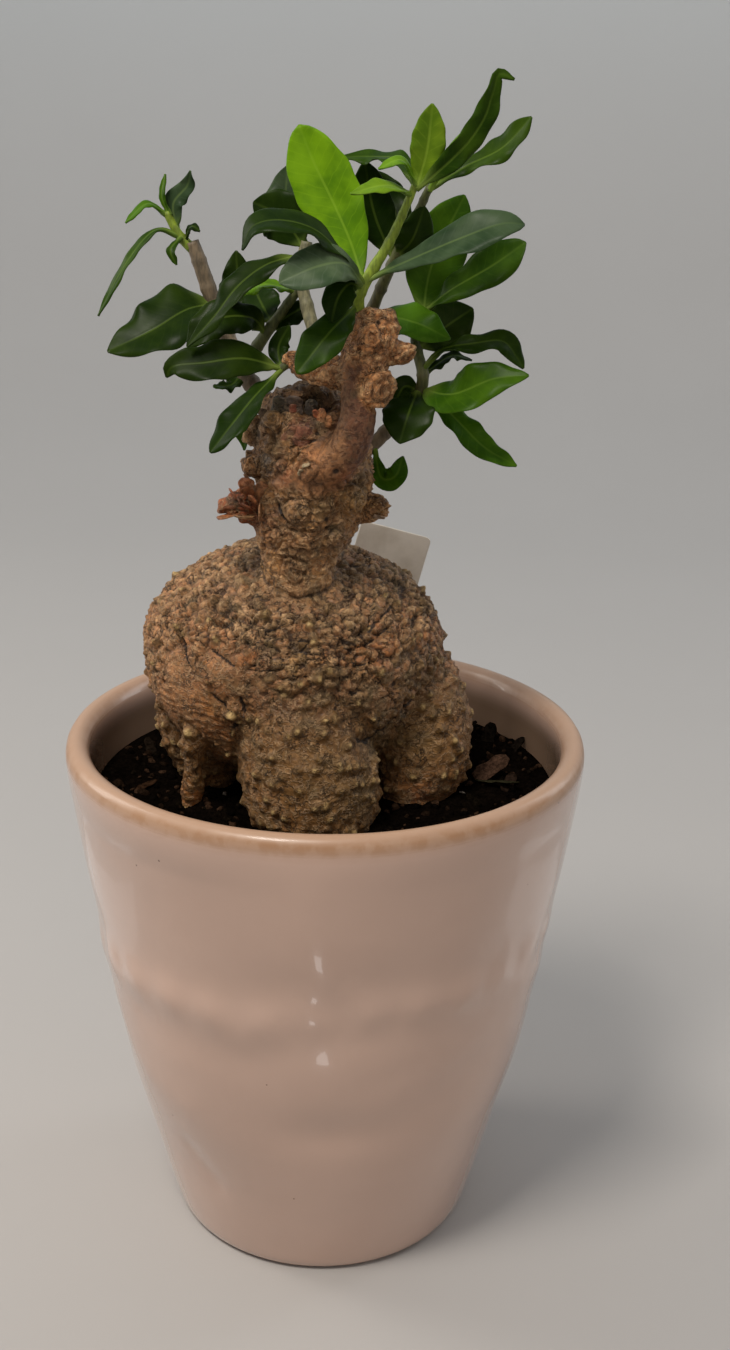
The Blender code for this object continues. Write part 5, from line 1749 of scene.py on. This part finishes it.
SPRIGS = (
    Sprig("sprig_left", (
        Stem(((-15.5, -2, 262.5), (-19, 0.5, 267), (-24, 3, 272.5), (-28, 6, 280), (-31, 8, 286),
              (-34, 8, 294.5), (-36.5, 8, 302), (-39, 8, 309)), 2.8, 2.1),
        Stem(((-39, 8, 307), (-42, 8, 310), (-44, 8, 313), (-46, 8, 317)), 1.6, 1.0, Tone.GREEN, Tone.GREEN),
        Stem(((-24.5, 3.5, 273), (-22, -1, 279), (-18, -3, 285), (-13, -4, 292), (-8.5, -4, 298)), 2.0, 1.3,
             Tone.OLIVE, Tone.OLIVE)), (
        Leaf(((-42, 8, 310), (-49, 5, 312), (-57, 2, 303), (-65, 0, 289)), 4.5, (-0.6, -0.5, 0.6),
             tone=Tone.MID, wave=0.3),
        Leaf(((-46, 8, 316), (-51, 6, 319), (-57, 4, 314)), 4, (-0.2, -0.4, 0.9), tone=Tone.BRIGHT,
             wave=0.2),
        Leaf(((-45, 8, 316), (-47, 8, 321), (-46, 8, 327)), 2.6, (-0.7, -0.7, 0), tone=Tone.BRIGHT,
             wave=0.1),
        Leaf(((-43, 8, 312), (-44, 9, 319), (-40, 9, 324), (-39, 7, 328)), 6, (-0.3, -0.9, 0.1), 0.42,
             Tone.GREY, 0.5),
        Leaf(((-41, 8, 309), (-39, 6, 313), (-36.5, 5, 312)), 3.5, (0, -0.5, 0.85), wave=0.2),
        Leaf(((-42, 7, 310), (-44.5, 4, 307), (-43, 3, 303)), 3.2, (-0.6, -0.8, 0.1), tone=Tone.MID,
             wave=0.2),
        Leaf(((-32, 8, 291.5), (-40, 1, 291), (-50, -4, 285.5), (-62, -6, 280)), 20.5, (-0.3, -0.75, 0.6),
             0.36, wave=0.7, fullness=0.68),
        Leaf(((-31, 8, 287), (-27, 13, 297), (-27, 15, 306)), 9, (-0.1, -0.95, 0.2)),
        Leaf(((-25, 3, 273), (-28, 0, 270), (-33, -2, 270)), 6, (0, -0.3, 0.95), tone=Tone.MID),
        Leaf(((-18, -3, 285), (-22, -7, 290), (-31, -12, 290), (-39, -15, 283)), 12, (-0.1, -0.8, 0.6)),
        # Lit from behind: its tone paints the light shining through the blade
        Leaf(((-9.5, -4, 297), (-19, -7, 299), (-29, -9, 295)), 9, (0, -0.25, 0.97), tone=Tone.BACKLIT_YELLOW),
        Leaf(((-16, -3, 288), (-19, 3, 292), (-22, 9, 297)), 11, (0, -0.95, 0.3)),
        Leaf(((-17, -3, 286), (-12, -4, 290), (-5, -4, 294)), 7.5, (-0.2, -0.8, 0.55)),
        Leaf(((-19.5, 1, 267.5), (-25, 8, 261), (-25, 11, 249)), 7, (-0.5, -0.8, 0.3), tone=Tone.BRIGHT))),
    Sprig("sprig_centre", (
        Stem(((-2.2, -18, 277.5), (-3.6, -14.6, 285), (-6, -11.5, 293), (-8, -9.5, 302), (-6.5, -9, 311)),
             2.1, 1.6, Tone.PALE, Tone.PALE),), (
        Leaf(((-7.5, -10, 307), (-16.5, -15.5, 305.5), (-24.5, -19.5, 300), (-31, -22, 292),
              (-38, -24, 284.5)), 9.5, (-0.4, -0.6, 0.7), 0.42, Tone.DARK, 0.8),
        Leaf(((-7, -9, 309), (-13, -8, 317), (-21, -8, 321)), 14, (-0.3, -0.9, 0.25), tone=Tone.DARK),
        Leaf(((-6.5, -9, 310), (-12, -1, 319), (-12, 3, 330)), 12, (-0.2, -0.95, 0.2), tone=Tone.GREY))),
    Sprig("sprig_front", (
        Stem(((9, -20, 289.5), (7.4, -22.6, 296), (9.2, -25, 302), (15.5, -26, 313), (20.5, -26, 324),
              (22, -26.5, 328)), 1.9, 0.95, Tone.GREEN, Tone.GREEN),), (
        Leaf(((7, -22.5, 295.5), (0, -33, 290), (-8.5, -38, 280)), 11, (-0.3, -0.9, 0.3), 0.56, Tone.MID,
             fullness=0.64),
        # Lit from behind: its tone paints the light shining through the blade
        Leaf(((9, -25, 301.5), (5.5, -21, 311.5), (1, -17, 321), (-4.5, -14, 331.5), (-8.6, -12, 341)), 17,
             (-0.1, -0.95, 0.3), 0.60, Tone.BACKLIT_YELLOW, 0.3, fullness=0.58),
        Leaf(((9, -25.5, 302), (3, -31, 309.5), (-4, -35, 316), (-12.5, -38, 318.5), (-19.5, -38, 317),
              (-22.5, -36, 311)), 12, (0, -0.45, 0.9), 0.6, wave=0.7),
        # Its pale grey tone paints a sheen on the upper side
        Leaf(((8.5, -25, 301), (4, -34, 307.5), (-3, -39, 307.5), (-13, -41, 303.5)), 12.5,
             (0.05, -0.8, 0.6), 0.62, Tone.SHEEN, fullness=0.6),
        Leaf(((8.5, -25, 301), (5, -29, 302), (2, -31, 298.5), (0.5, -31.5, 292.5)), 8.5, (-0.2, -0.9, 0.2),
             0.55),
        # Its grey tone paints a sheen on the upper side
        Leaf(((9.2, -25.5, 302.5), (18, -28, 307), (32, -31, 313.5), (43.5, -33, 318), (49.8, -33, 318)),
             12.5, (0.1, -0.65, 0.75), 0.68, Tone.GREY, 0.5, fullness=0.62),
        Leaf(((22, -26.5, 326), (24.5, -27, 336), (25.5, -27, 347)), 9, (0, -1, 0.2), tone=Tone.FRESH,
             wave=0.3),
        Leaf(((22, -26.5, 327), (18, -29, 333), (12, -30, 331)), 5, (0, -0.4, 0.9), tone=Tone.FRESH,
             wave=0.2),
        Leaf(((22, -26, 326.5), (18, -17, 332.5), (10, -9, 333), (1, -7, 332.5)), 7, (0, -0.5, 0.85),
             tone=Tone.MID),
        Leaf(((22, -26.5, 326), (29, -28, 332), (34.5, -28, 337.5), (38.5, -28, 343.5), (40.6, -28, 350),
              (42.0, -28, 354.2), (46, -28, 353)), 6.8, (0.5, -0.8, 0.3), 0.46, Tone.MID, 0.7),
        Leaf(((21, -26, 324.5), (14, -31, 327), (5, -33, 325)), 6, (0, -0.5, 0.85), tone=Tone.FRESH,
             wave=0.3))),
    Sprig("sprig_back", (
        Stem(((-1, -5, 262), (3, -1, 268), (8, 3, 279), (12, 2, 292), (18, -4, 307), (23, -10, 318),
              (26, -16, 326)), 2.3, 1.1, Tone.WOODY, Tone.OLIVE),), (
        Leaf(((25.5, -15, 325), (35.5, -13, 331), (45, -15, 336), (52, -18, 344)), 9, (0.2, -0.55, 0.8),
             0.66, Tone.MID),
        Leaf(((26, -16, 325), (30, -18, 333), (34, -18, 340)), 3.5, (0.6, -0.8, 0), tone=Tone.FRESH,
             wave=0.2),
        Leaf(((17.5, -3.5, 306), (12, -4, 318), (9, -4, 332)), 12, (-0.3, -0.9, 0.2)),
        Leaf(((20, -6, 311), (17, 2, 320), (12, 5, 329)), 10, (0, -0.95, 0.2)),
        Leaf(((18, -4, 307), (22, -10, 312), (25, -13, 321)), 10, (0.3, -0.9, 0.2)),
        Leaf(((17, -3, 304), (25, 4, 310), (30, 6, 316)), 10, (0.3, -0.9, 0.2)),
        Leaf(((12, 2, 290), (18, -6, 290.5), (25, -13, 289.5), (33, -15, 286)), 13, (0.2, -0.8, 0.55), 0.45,
             Tone.BRIGHT))),
    Sprig("sprig_right", (
        Stem(((7.5, -4, 250.5), (13, -3, 254.5), (19, -4, 261), (25, -8, 269), (26, -10, 276),
              (24, -6, 284), (25.5, -4, 292)), 2.3, 1.4, Tone.WOODY, Tone.OLIVE),), (
        Leaf(((25.5, -4, 290), (28.5, 1, 305), (37, 4, 323)), 17, (0.2, -0.95, 0.2), tone=Tone.BRIGHT),
        Leaf(((25.5, -4.5, 291), (32.5, -12, 298.5), (43.5, -17, 306), (52, -19, 312.5)), 13,
             (0.2, -0.65, 0.7), 0.66, Tone.MID, fullness=0.62),
        Leaf(((24.5, -7, 282), (32.5, -4, 288), (40, -3, 293)), 14, (0.2, -0.9, 0.4)),
        Leaf(((26, -10, 277), (31, -14, 283), (39, -16, 285), (47, -17, 286), (51, -18, 282),
              (53, -19, 279)), 8, (0.1, -0.6, 0.8), 0.68, Tone.MID),
        Leaf(((26, -9, 275), (34, -6, 280), (40, -6, 279)), 4.5, (0, -0.3, 0.95)),
        # Lit from behind: its bright tone paints the light shining through the blade
        Leaf(((25.7, -9, 271), (34, -18, 271.5), (44.5, -22, 276.5), (54, -24, 278)), 13.5,
             (0.1, -0.75, 0.65), 0.42, Tone.BRIGHT),
        # Lit from behind: its bright tone paints the light shining through the blade
        Leaf(((25, -8, 270), (33, -9, 265.5), (43.5, -13, 256), (53, -15, 251)), 8.5, (0.3, -0.8, 0.5),
             tone=Tone.BRIGHT),
        Leaf(((25, -9, 271), (22, -18, 266), (19.5, -22, 258.5)), 15, (-0.3, -0.9, 0.2)),
        Leaf(((25, -8, 271), (21, -10, 272), (18, -12, 267)), 7, (-0.4, -0.9, 0.1)),
        Leaf(((13, -3.5, 254), (15, -9, 246), (19, -12, 247), (21, -13, 253)), 6.5, (0, -0.9, 0.4), 0.62,
             Tone.BRIGHT))),
    Sprig("sprig_low", (
        Stem(((-8.6, -16.6, 279.4), (-11.5, -16.4, 279), (-14, -16.6, 277)), 1.2, 1.1, Tone.OLIVE,
             Tone.OLIVE),), (
        Leaf(((-13, -16.6, 277.6), (-23, -21, 281), (-34, -23, 280), (-42, -23, 279), (-44, -23, 276)), 12,
             (0, -0.8, 0.6), wave=0.7),
        Leaf(((-13, -16.6, 277.6), (-20, -25, 271.5), (-26, -28, 264.5), (-32, -30, 257)), 10,
             (-0.6, -0.7, 0.4), 0.60, fullness=0.6),
        Leaf(((-13, -16.6, 277.4), (-14, -13, 283), (-11, -13, 289)), 6, (-0.3, -0.9, 0.2)))),
)


# Soil


@dataclass
class Soil:
    """The potting mix: a lumpy bed that fills the pot, loose crumbs, white grains and chips."""

    top: float = 147.2
    dish: float = 2.2
    gap: float = 0.35
    sides: int = 200
    crumbs: int = 900
    white_grains: int = 14
    crumb_tones: tuple[Colour, ...] = (
        (0.004, 0.003, 0.0025), (0.008, 0.006, 0.004), (0.018, 0.011, 0.007), (0.045, 0.026, 0.016))
    white_tones: tuple[Colour, ...] = ((0.30, 0.27, 0.23), (0.16, 0.14, 0.12))
    # Bark chips: root, way, face, length, width, curl and tone
    chips: tuple[Flake, ...] = from_rows(Flake, (3, 3, 3, 1, 1, 1, 3), (
        (46.5, 1, 147.8, 0.85, 0.25, 0.42, -0.3, -0.4, 1, 12.5, 7.5, 1.0, 0.062, 0.036, 0.024),
        (47, -1, 148, 0.82, -0.5, 0.12, 0, 0.3, 1, 14.5, 5.0, 0.8, 0.032, 0.030, 0.016),
        (52, 27, 147, 0.3, 0.5, 0.8, 0.2, -0.9, 0.4, 9.0, 5.0, 0.4, 0.010, 0.008, 0.006),
        (58, 18, 147.5, 0.5, 0.8, 0.15, 0, 0, 1, 13.0, 3.6, 0.7, 0.012, 0.009, 0.007),
        (40, 34, 147, 0.8, 0.3, 0.35, -0.3, 0, 1, 12.0, 4.4, 0.9, 0.011, 0.008, 0.006),
        (55, -8, 147.5, 0.4, 0.9, 0.2, 0.3, 0, 1, 9.0, 4.0, 0.8, 0.022, 0.014, 0.010),
        (-58, -8, 147, 0.7, 0.6, 0.1, 0, 0, 1, 7.5, 3.0, 0.5, 0.034, 0.018, 0.010),
        (-56, 20, 147, -0.3, 0.9, 0.3, 0, 0, 1, 8.0, 3.6, 0.6, 0.014, 0.010, 0.007),
        (-34, -46, 147.2, 0.9, 0.2, 0.1, 0, 0, 1, 7.0, 3.0, 0.5, 0.040, 0.020, 0.011),
        (30, -46, 147, 0.8, 0.4, 0.1, 0, 0, 1, 8.0, 3.2, 0.5, 0.024, 0.014, 0.010)))

    def level(self, x: np.ndarray, y: np.ndarray) -> np.ndarray:
        """Height of the bed: a shallow dish with lumps of two sizes.

        Args:
            x: places from left to right.
            y: places from front to back.

        Returns:
            The height at each place.
        """
        p = np.column_stack([x, y, np.zeros_like(x)])
        reach = np.hypot(x, y) / 70
        heap = 2.0 * np.exp(-(((x - 48) / 16) ** 2) - ((y - 22) / 22) ** 2)
        lumps = 1.0 * noise(p, 7, 201) + 0.75 * noise(p, 3.2, 202) + 0.35 * noise(p, 1.5, 203)
        return self.top - self.dish * (1 - reach) + (lumps + heap) * smoothstep(1.0, 0.93, reach)

    def bed(self, pot: Pot) -> Skin:
        """The bed: rings down the pot's inside, then in over the lumpy top to the middle.

        Args:
            pot: the pot that it fills.

        Returns:
            The bed's skin.
        """
        below = [(r - self.gap, z + self.gap) for r, z in reversed(pot.inner) if z < self.top]
        radii = [r for r, _ in pot.inner][::-1]
        heights = [z for _, z in pot.inner][::-1]
        edge = float(np.interp(self.top, heights, radii)) - self.gap
        inward = np.linspace(edge, 1.0, 64)
        radius = np.concatenate([[r for r, _ in below], inward])
        angle = np.linspace(0, 2 * math.pi, self.sides, endpoint=False)
        x = radius[:, None] * np.sin(angle)[None]
        y = -radius[:, None] * np.cos(angle)[None]
        z = np.empty_like(x)
        z[: len(below)] = np.array([z for _, z in below])[:, None]
        z[len(below) :] = self.level(x[len(below) :].ravel(), y[len(below) :].ravel()).reshape(-1, self.sides)
        skin = carried(np.stack([x, y, z], axis=2))
        # Near-black bed: dark mix, partly painted shade inside the pot
        tone = blend(np.tile((0.0015, 0.0012, 0.0010), (len(skin.points), 1)), (0.007, 0.0048, 0.0034),
                     0.5 + 0.5 * cloudy(skin.points, 4, 205))
        return skin.plus("tone", tone)

    def grains(self, count: int, sizes: tuple[float, float], seed: int, tones: tuple[Colour, ...]) -> Skin:
        """Loose grains: twenty-sided balls, squashed, turned and dented at random.

        Args:
            count: how many are drawn; those inside a foot are dropped.
            sizes: smallest and largest radius in millimetres.
            seed: picks the places.
            tones: the colours that they take in turn.

        Returns:
            All grains as one skin.
        """
        chance = np.random.default_rng(seed)
        ball = bmesh.new()
        bmesh.ops.create_icosphere(ball, subdivisions=1, radius=1.0)
        corners = np.array([v.co[:] for v in ball.verts])
        sides = np.array([[v.index for v in f.verts] for f in ball.faces])
        ball.free()
        reach = 69.5 * np.sqrt(chance.uniform(0.02, 1, count))
        angle = chance.uniform(0, 2 * math.pi, count)
        place = np.column_stack([reach * np.sin(angle), -reach * np.cos(angle), np.zeros(count)])
        place[:, 2] = self.level(place[:, 0], place[:, 1])
        place = place[np.min([limb.away(place) for limb in LOW_LIMBS], axis=0) > 0.6]
        count = len(place)
        size = chance.uniform(*sizes, count)
        stretch = chance.uniform(0.55, 1.5, (count, 1, 3))
        spin = np.linalg.qr(chance.normal(size=(count, 3, 3)))[0]
        jitter = chance.uniform(0.75, 1.2, (count, len(corners), 1))
        shaped = np.einsum("nij,nkj->nki", spin, corners[None] * stretch * jitter)
        points = place[:, None] + shaped * size[:, None, None]
        faces = (sides[None] + (np.arange(count) * len(corners))[:, None, None]).reshape(-1, 3)
        pick = np.asarray(tones)[chance.integers(0, len(tones), count)]
        skin = Skin(points.reshape(-1, 3), [faces])
        return skin.plus("tone", np.repeat(pick, len(corners), axis=0))

    def make(self, pot: Pot) -> None:
        """Build the bed and what lies on it, and dress them.

        Args:
            pot: the pot that the bed fills.
        """
        finish = SoilFinish().material()
        settle(make_piece("soil_bed", self.bed(pot), [finish]), "soil", "soil")
        crumbs = self.grains(self.crumbs, (0.5, 1.5), 21, self.crumb_tones)
        white = self.grains(self.white_grains, (0.35, 0.9), 22, self.white_tones)
        for grains in (crumbs, white):
            grains.plus("wart", NO_WART).plus("smooth", LOOSE_SMOOTH)
        loose = joined([crumbs, white] + [chip.skin() for chip in self.chips])
        settle(make_piece("soil_crumbs", loose, [finish]), "soil")


# Label


@dataclass
class PlantLabel:
    """The blank tag: a thin plastic strip with rounded corners, leaning behind the caudex."""

    top_left: Place = (11.0, 53.0, 217.0)
    wide: float = 24.0
    long: float = 84.0
    thick: float = 0.9
    lean: float = 14.5
    corner: float = 1.6
    bow: float = 0.25

    def skin(self) -> Skin:
        """A flat rounded section carried down the strip, narrower at its rounded ends.

        Returns:
            The skin, with its layers.
        """
        rows = np.concatenate([np.linspace(0, self.corner, 6), np.linspace(self.corner, self.long, 24)[1:]])
        left = self.corner - np.minimum(rows, self.corner)
        cut = self.corner - np.sqrt(np.clip(self.corner**2 - left**2, 0, None))
        half = 0.5 * self.wide - cut
        angle = np.linspace(0, 2 * math.pi, 28, endpoint=False)
        across = 0.5 * self.wide + half[:, None] * np.sign(np.cos(angle)) * np.abs(np.cos(angle)) ** 0.5
        back = 0.5 * self.thick * (1 + np.sign(np.sin(angle)) * np.abs(np.sin(angle)) ** 0.25)
        back = back[None] + self.bow * np.sin(math.pi * across / self.wide) - self.bow
        back = np.clip(back, 0, self.thick)
        lean = math.radians(self.lean)
        along_x = np.array([math.cos(lean), 0, -math.sin(lean)])
        down = np.array([-math.sin(lean), 0, -math.cos(lean)])
        points = (np.array(self.top_left) + across[..., None] * along_x + rows[:, None, None] * down
                  + back[..., None] * np.array([0, 1.0, 0]))
        return carried(points)

    def make(self) -> None:
        """Build and dress the tag."""
        settle(make_piece("label_tag", self.skin(), [TagFinish().material()]), "label", "plant_label")


# Studio


@dataclass(frozen=True)
class Lamp:
    """A soft rectangular light: place, size, power, colour and the point it faces, in metres."""

    name: str
    place: Place
    size: tuple[float, float]
    power: float
    tint: Colour = (1.0, 1.0, 1.0)
    aim: Place = (0.0, 0.0, 0.18)
    gloss_only: bool = False

    def make(self) -> None:
        """Put the light in the scene."""
        data = bpy.data.lights.new(self.name, "AREA")
        data.shape = "RECTANGLE"
        data.size, data.size_y = self.size
        data.energy = self.power
        data.color = self.tint
        lamp = bpy.data.objects.new(self.name, data)
        way = unit(np.array(self.place) - np.array(self.aim))
        side = unit(np.cross((0, 0, 1), way)) if abs(way[2]) < 0.999 else np.array([1.0, 0, 0])
        turn = np.eye(4)
        turn[:3, :3] = np.column_stack([side, np.cross(way, side), way])
        turn[:3, 3] = self.place
        lamp.matrix_world = Matrix(turn.tolist())
        lamp.visible_camera = False
        lamp.visible_diffuse = not self.gloss_only
        bpy.context.scene.collection.objects.link(lamp)


@dataclass
class Studio:
    """Camera at the photograph's viewpoint, soft lights and a plain pale floor."""

    eye: Place = (0.0, -0.4576, 0.3508)
    pitch: float = 20.2
    roll: float = 1.02
    yaw: float = 1.46
    lens: float = 42.67
    sensor: float = 36.0
    sky: Colour = (0.86, 0.93, 1.0)
    sky_strength: float = 0.37
    lamps: tuple[Lamp, ...] = (
        Lamp("side_left", (-0.95, 0.30, 0.66), (0.30, 0.80), 5.3, (1.0, 0.95, 0.88)),
        Lamp("side_right", (0.95, 0.45, 0.60), (0.28, 0.80), 2.3, (0.96, 0.98, 1.0)),
        Lamp("key", (-0.30, -0.45, 1.15), (0.28, 0.28), 9.8, (1.0, 0.94, 0.86)),
        Lamp("front_fill", (0.45, -1.05, 0.70), (0.8, 0.6), 1.7, (1.0, 0.84, 0.68)),
        Lamp("card_left", (-0.19, 0.10, 0.002), (0.05, 0.17), 0.0045, aim=(-0.19, 0.10, 1.0),
             gloss_only=True),
        Lamp("card_right", (0.20, 0.08, 0.002), (0.06, 0.13), 0.0035, aim=(0.20, 0.08, 1.0),
             gloss_only=True),
        Lamp("glint", (-0.003, -0.168, 0.002), (0.014, 0.014), 0.0016, aim=(-0.003, -0.168, 1.0),
             gloss_only=True),
        Lamp("sweep_wash", (0.0, 0.75, 1.25), (1.6, 0.3), 4.5, (0.93, 0.98, 1.0), aim=(0.0, 1.55, 0.5)))
    # Radius and height of the floor's profile in metres
    sweep: tuple[tuple[float, float], ...] = (
        (0.02, 0), (0.4, 0), (0.75, 0), (1.0, 0.02), (1.25, 0.10), (1.45, 0.27), (1.57, 0.55), (1.62, 0.9),
        (1.64, 1.2))

    def camera(self) -> None:
        """Stand the camera: turned by yaw, tipped down by pitch, then rolled."""
        yaw, pitch, roll = (math.radians(a) for a in (self.yaw, self.pitch, self.roll))
        ahead = np.array([math.sin(yaw) * math.cos(pitch), math.cos(yaw) * math.cos(pitch), -math.sin(pitch)])
        level = np.array([math.cos(yaw), -math.sin(yaw), 0.0])
        above = np.cross(level, ahead)
        right = level * math.cos(roll) + above * math.sin(roll)
        up = above * math.cos(roll) - level * math.sin(roll)
        data = bpy.data.cameras.new("camera")
        data.lens = self.lens
        data.sensor_width = self.sensor
        data.clip_start = 0.01
        camera = bpy.data.objects.new("camera", data)
        stand = np.eye(4)
        stand[:3, :3] = np.column_stack([right, up, -ahead])
        stand[:3, 3] = self.eye
        camera.matrix_world = Matrix(stand.tolist())
        bpy.context.scene.collection.objects.link(camera)
        bpy.context.scene.camera = camera

    def floor(self) -> None:
        """A round floor whose far edge sweeps up, turned from a profile in metres."""
        profile = smooth_route(tuple((r, 0, z) for r, z in self.sweep), 6)
        angle = np.linspace(0, 2 * math.pi, 96, endpoint=False)
        rings = np.stack([profile[:, :1] * np.cos(angle), profile[:, :1] * np.sin(angle),
                          profile[:, 2:] * np.ones_like(angle)], axis=2)
        rows, sides = rings.shape[:2]
        k = np.arange(sides)
        fan = np.column_stack([k, (k + 1) % sides, np.full(sides, rows * sides)])
        points = np.vstack([rings.reshape(-1, 3), [[0, 0, 0]]]) / MM
        skin = Skin(points, [ring_quads(rows, sides)[:, ::-1], fan])
        make_piece("pale_floor", skin, [FloorFinish().material()], turn_out=False)

    def make(self) -> None:
        """Set up the camera, the floor, the lights and the sky."""
        self.camera()
        self.floor()
        for lamp in self.lamps:
            lamp.make()
        world = bpy.data.worlds.new("sky")
        bpy.context.scene.world = world
        world.use_nodes = True
        background = world.node_tree.nodes["Background"]
        background.inputs["Color"].default_value = (*self.sky, 1.0)
        background.inputs["Strength"].default_value = self.sky_strength
        bpy.context.scene.view_settings.view_transform = "Standard"


def main() -> None:
    """Load the frame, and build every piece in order."""
    logging.basicConfig(level=logging.INFO, format="%(message)s")
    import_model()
    Studio().make()
    pot = Pot()
    pot.make()
    Soil().make(pot)
    Caudex().make()
    finishes = [LeafFinish().material(), StemFinish().material()]
    for sprig in SPRIGS:
        sprig.make(finishes)
    PlantLabel().make()


if __name__ == "__main__":
    main()
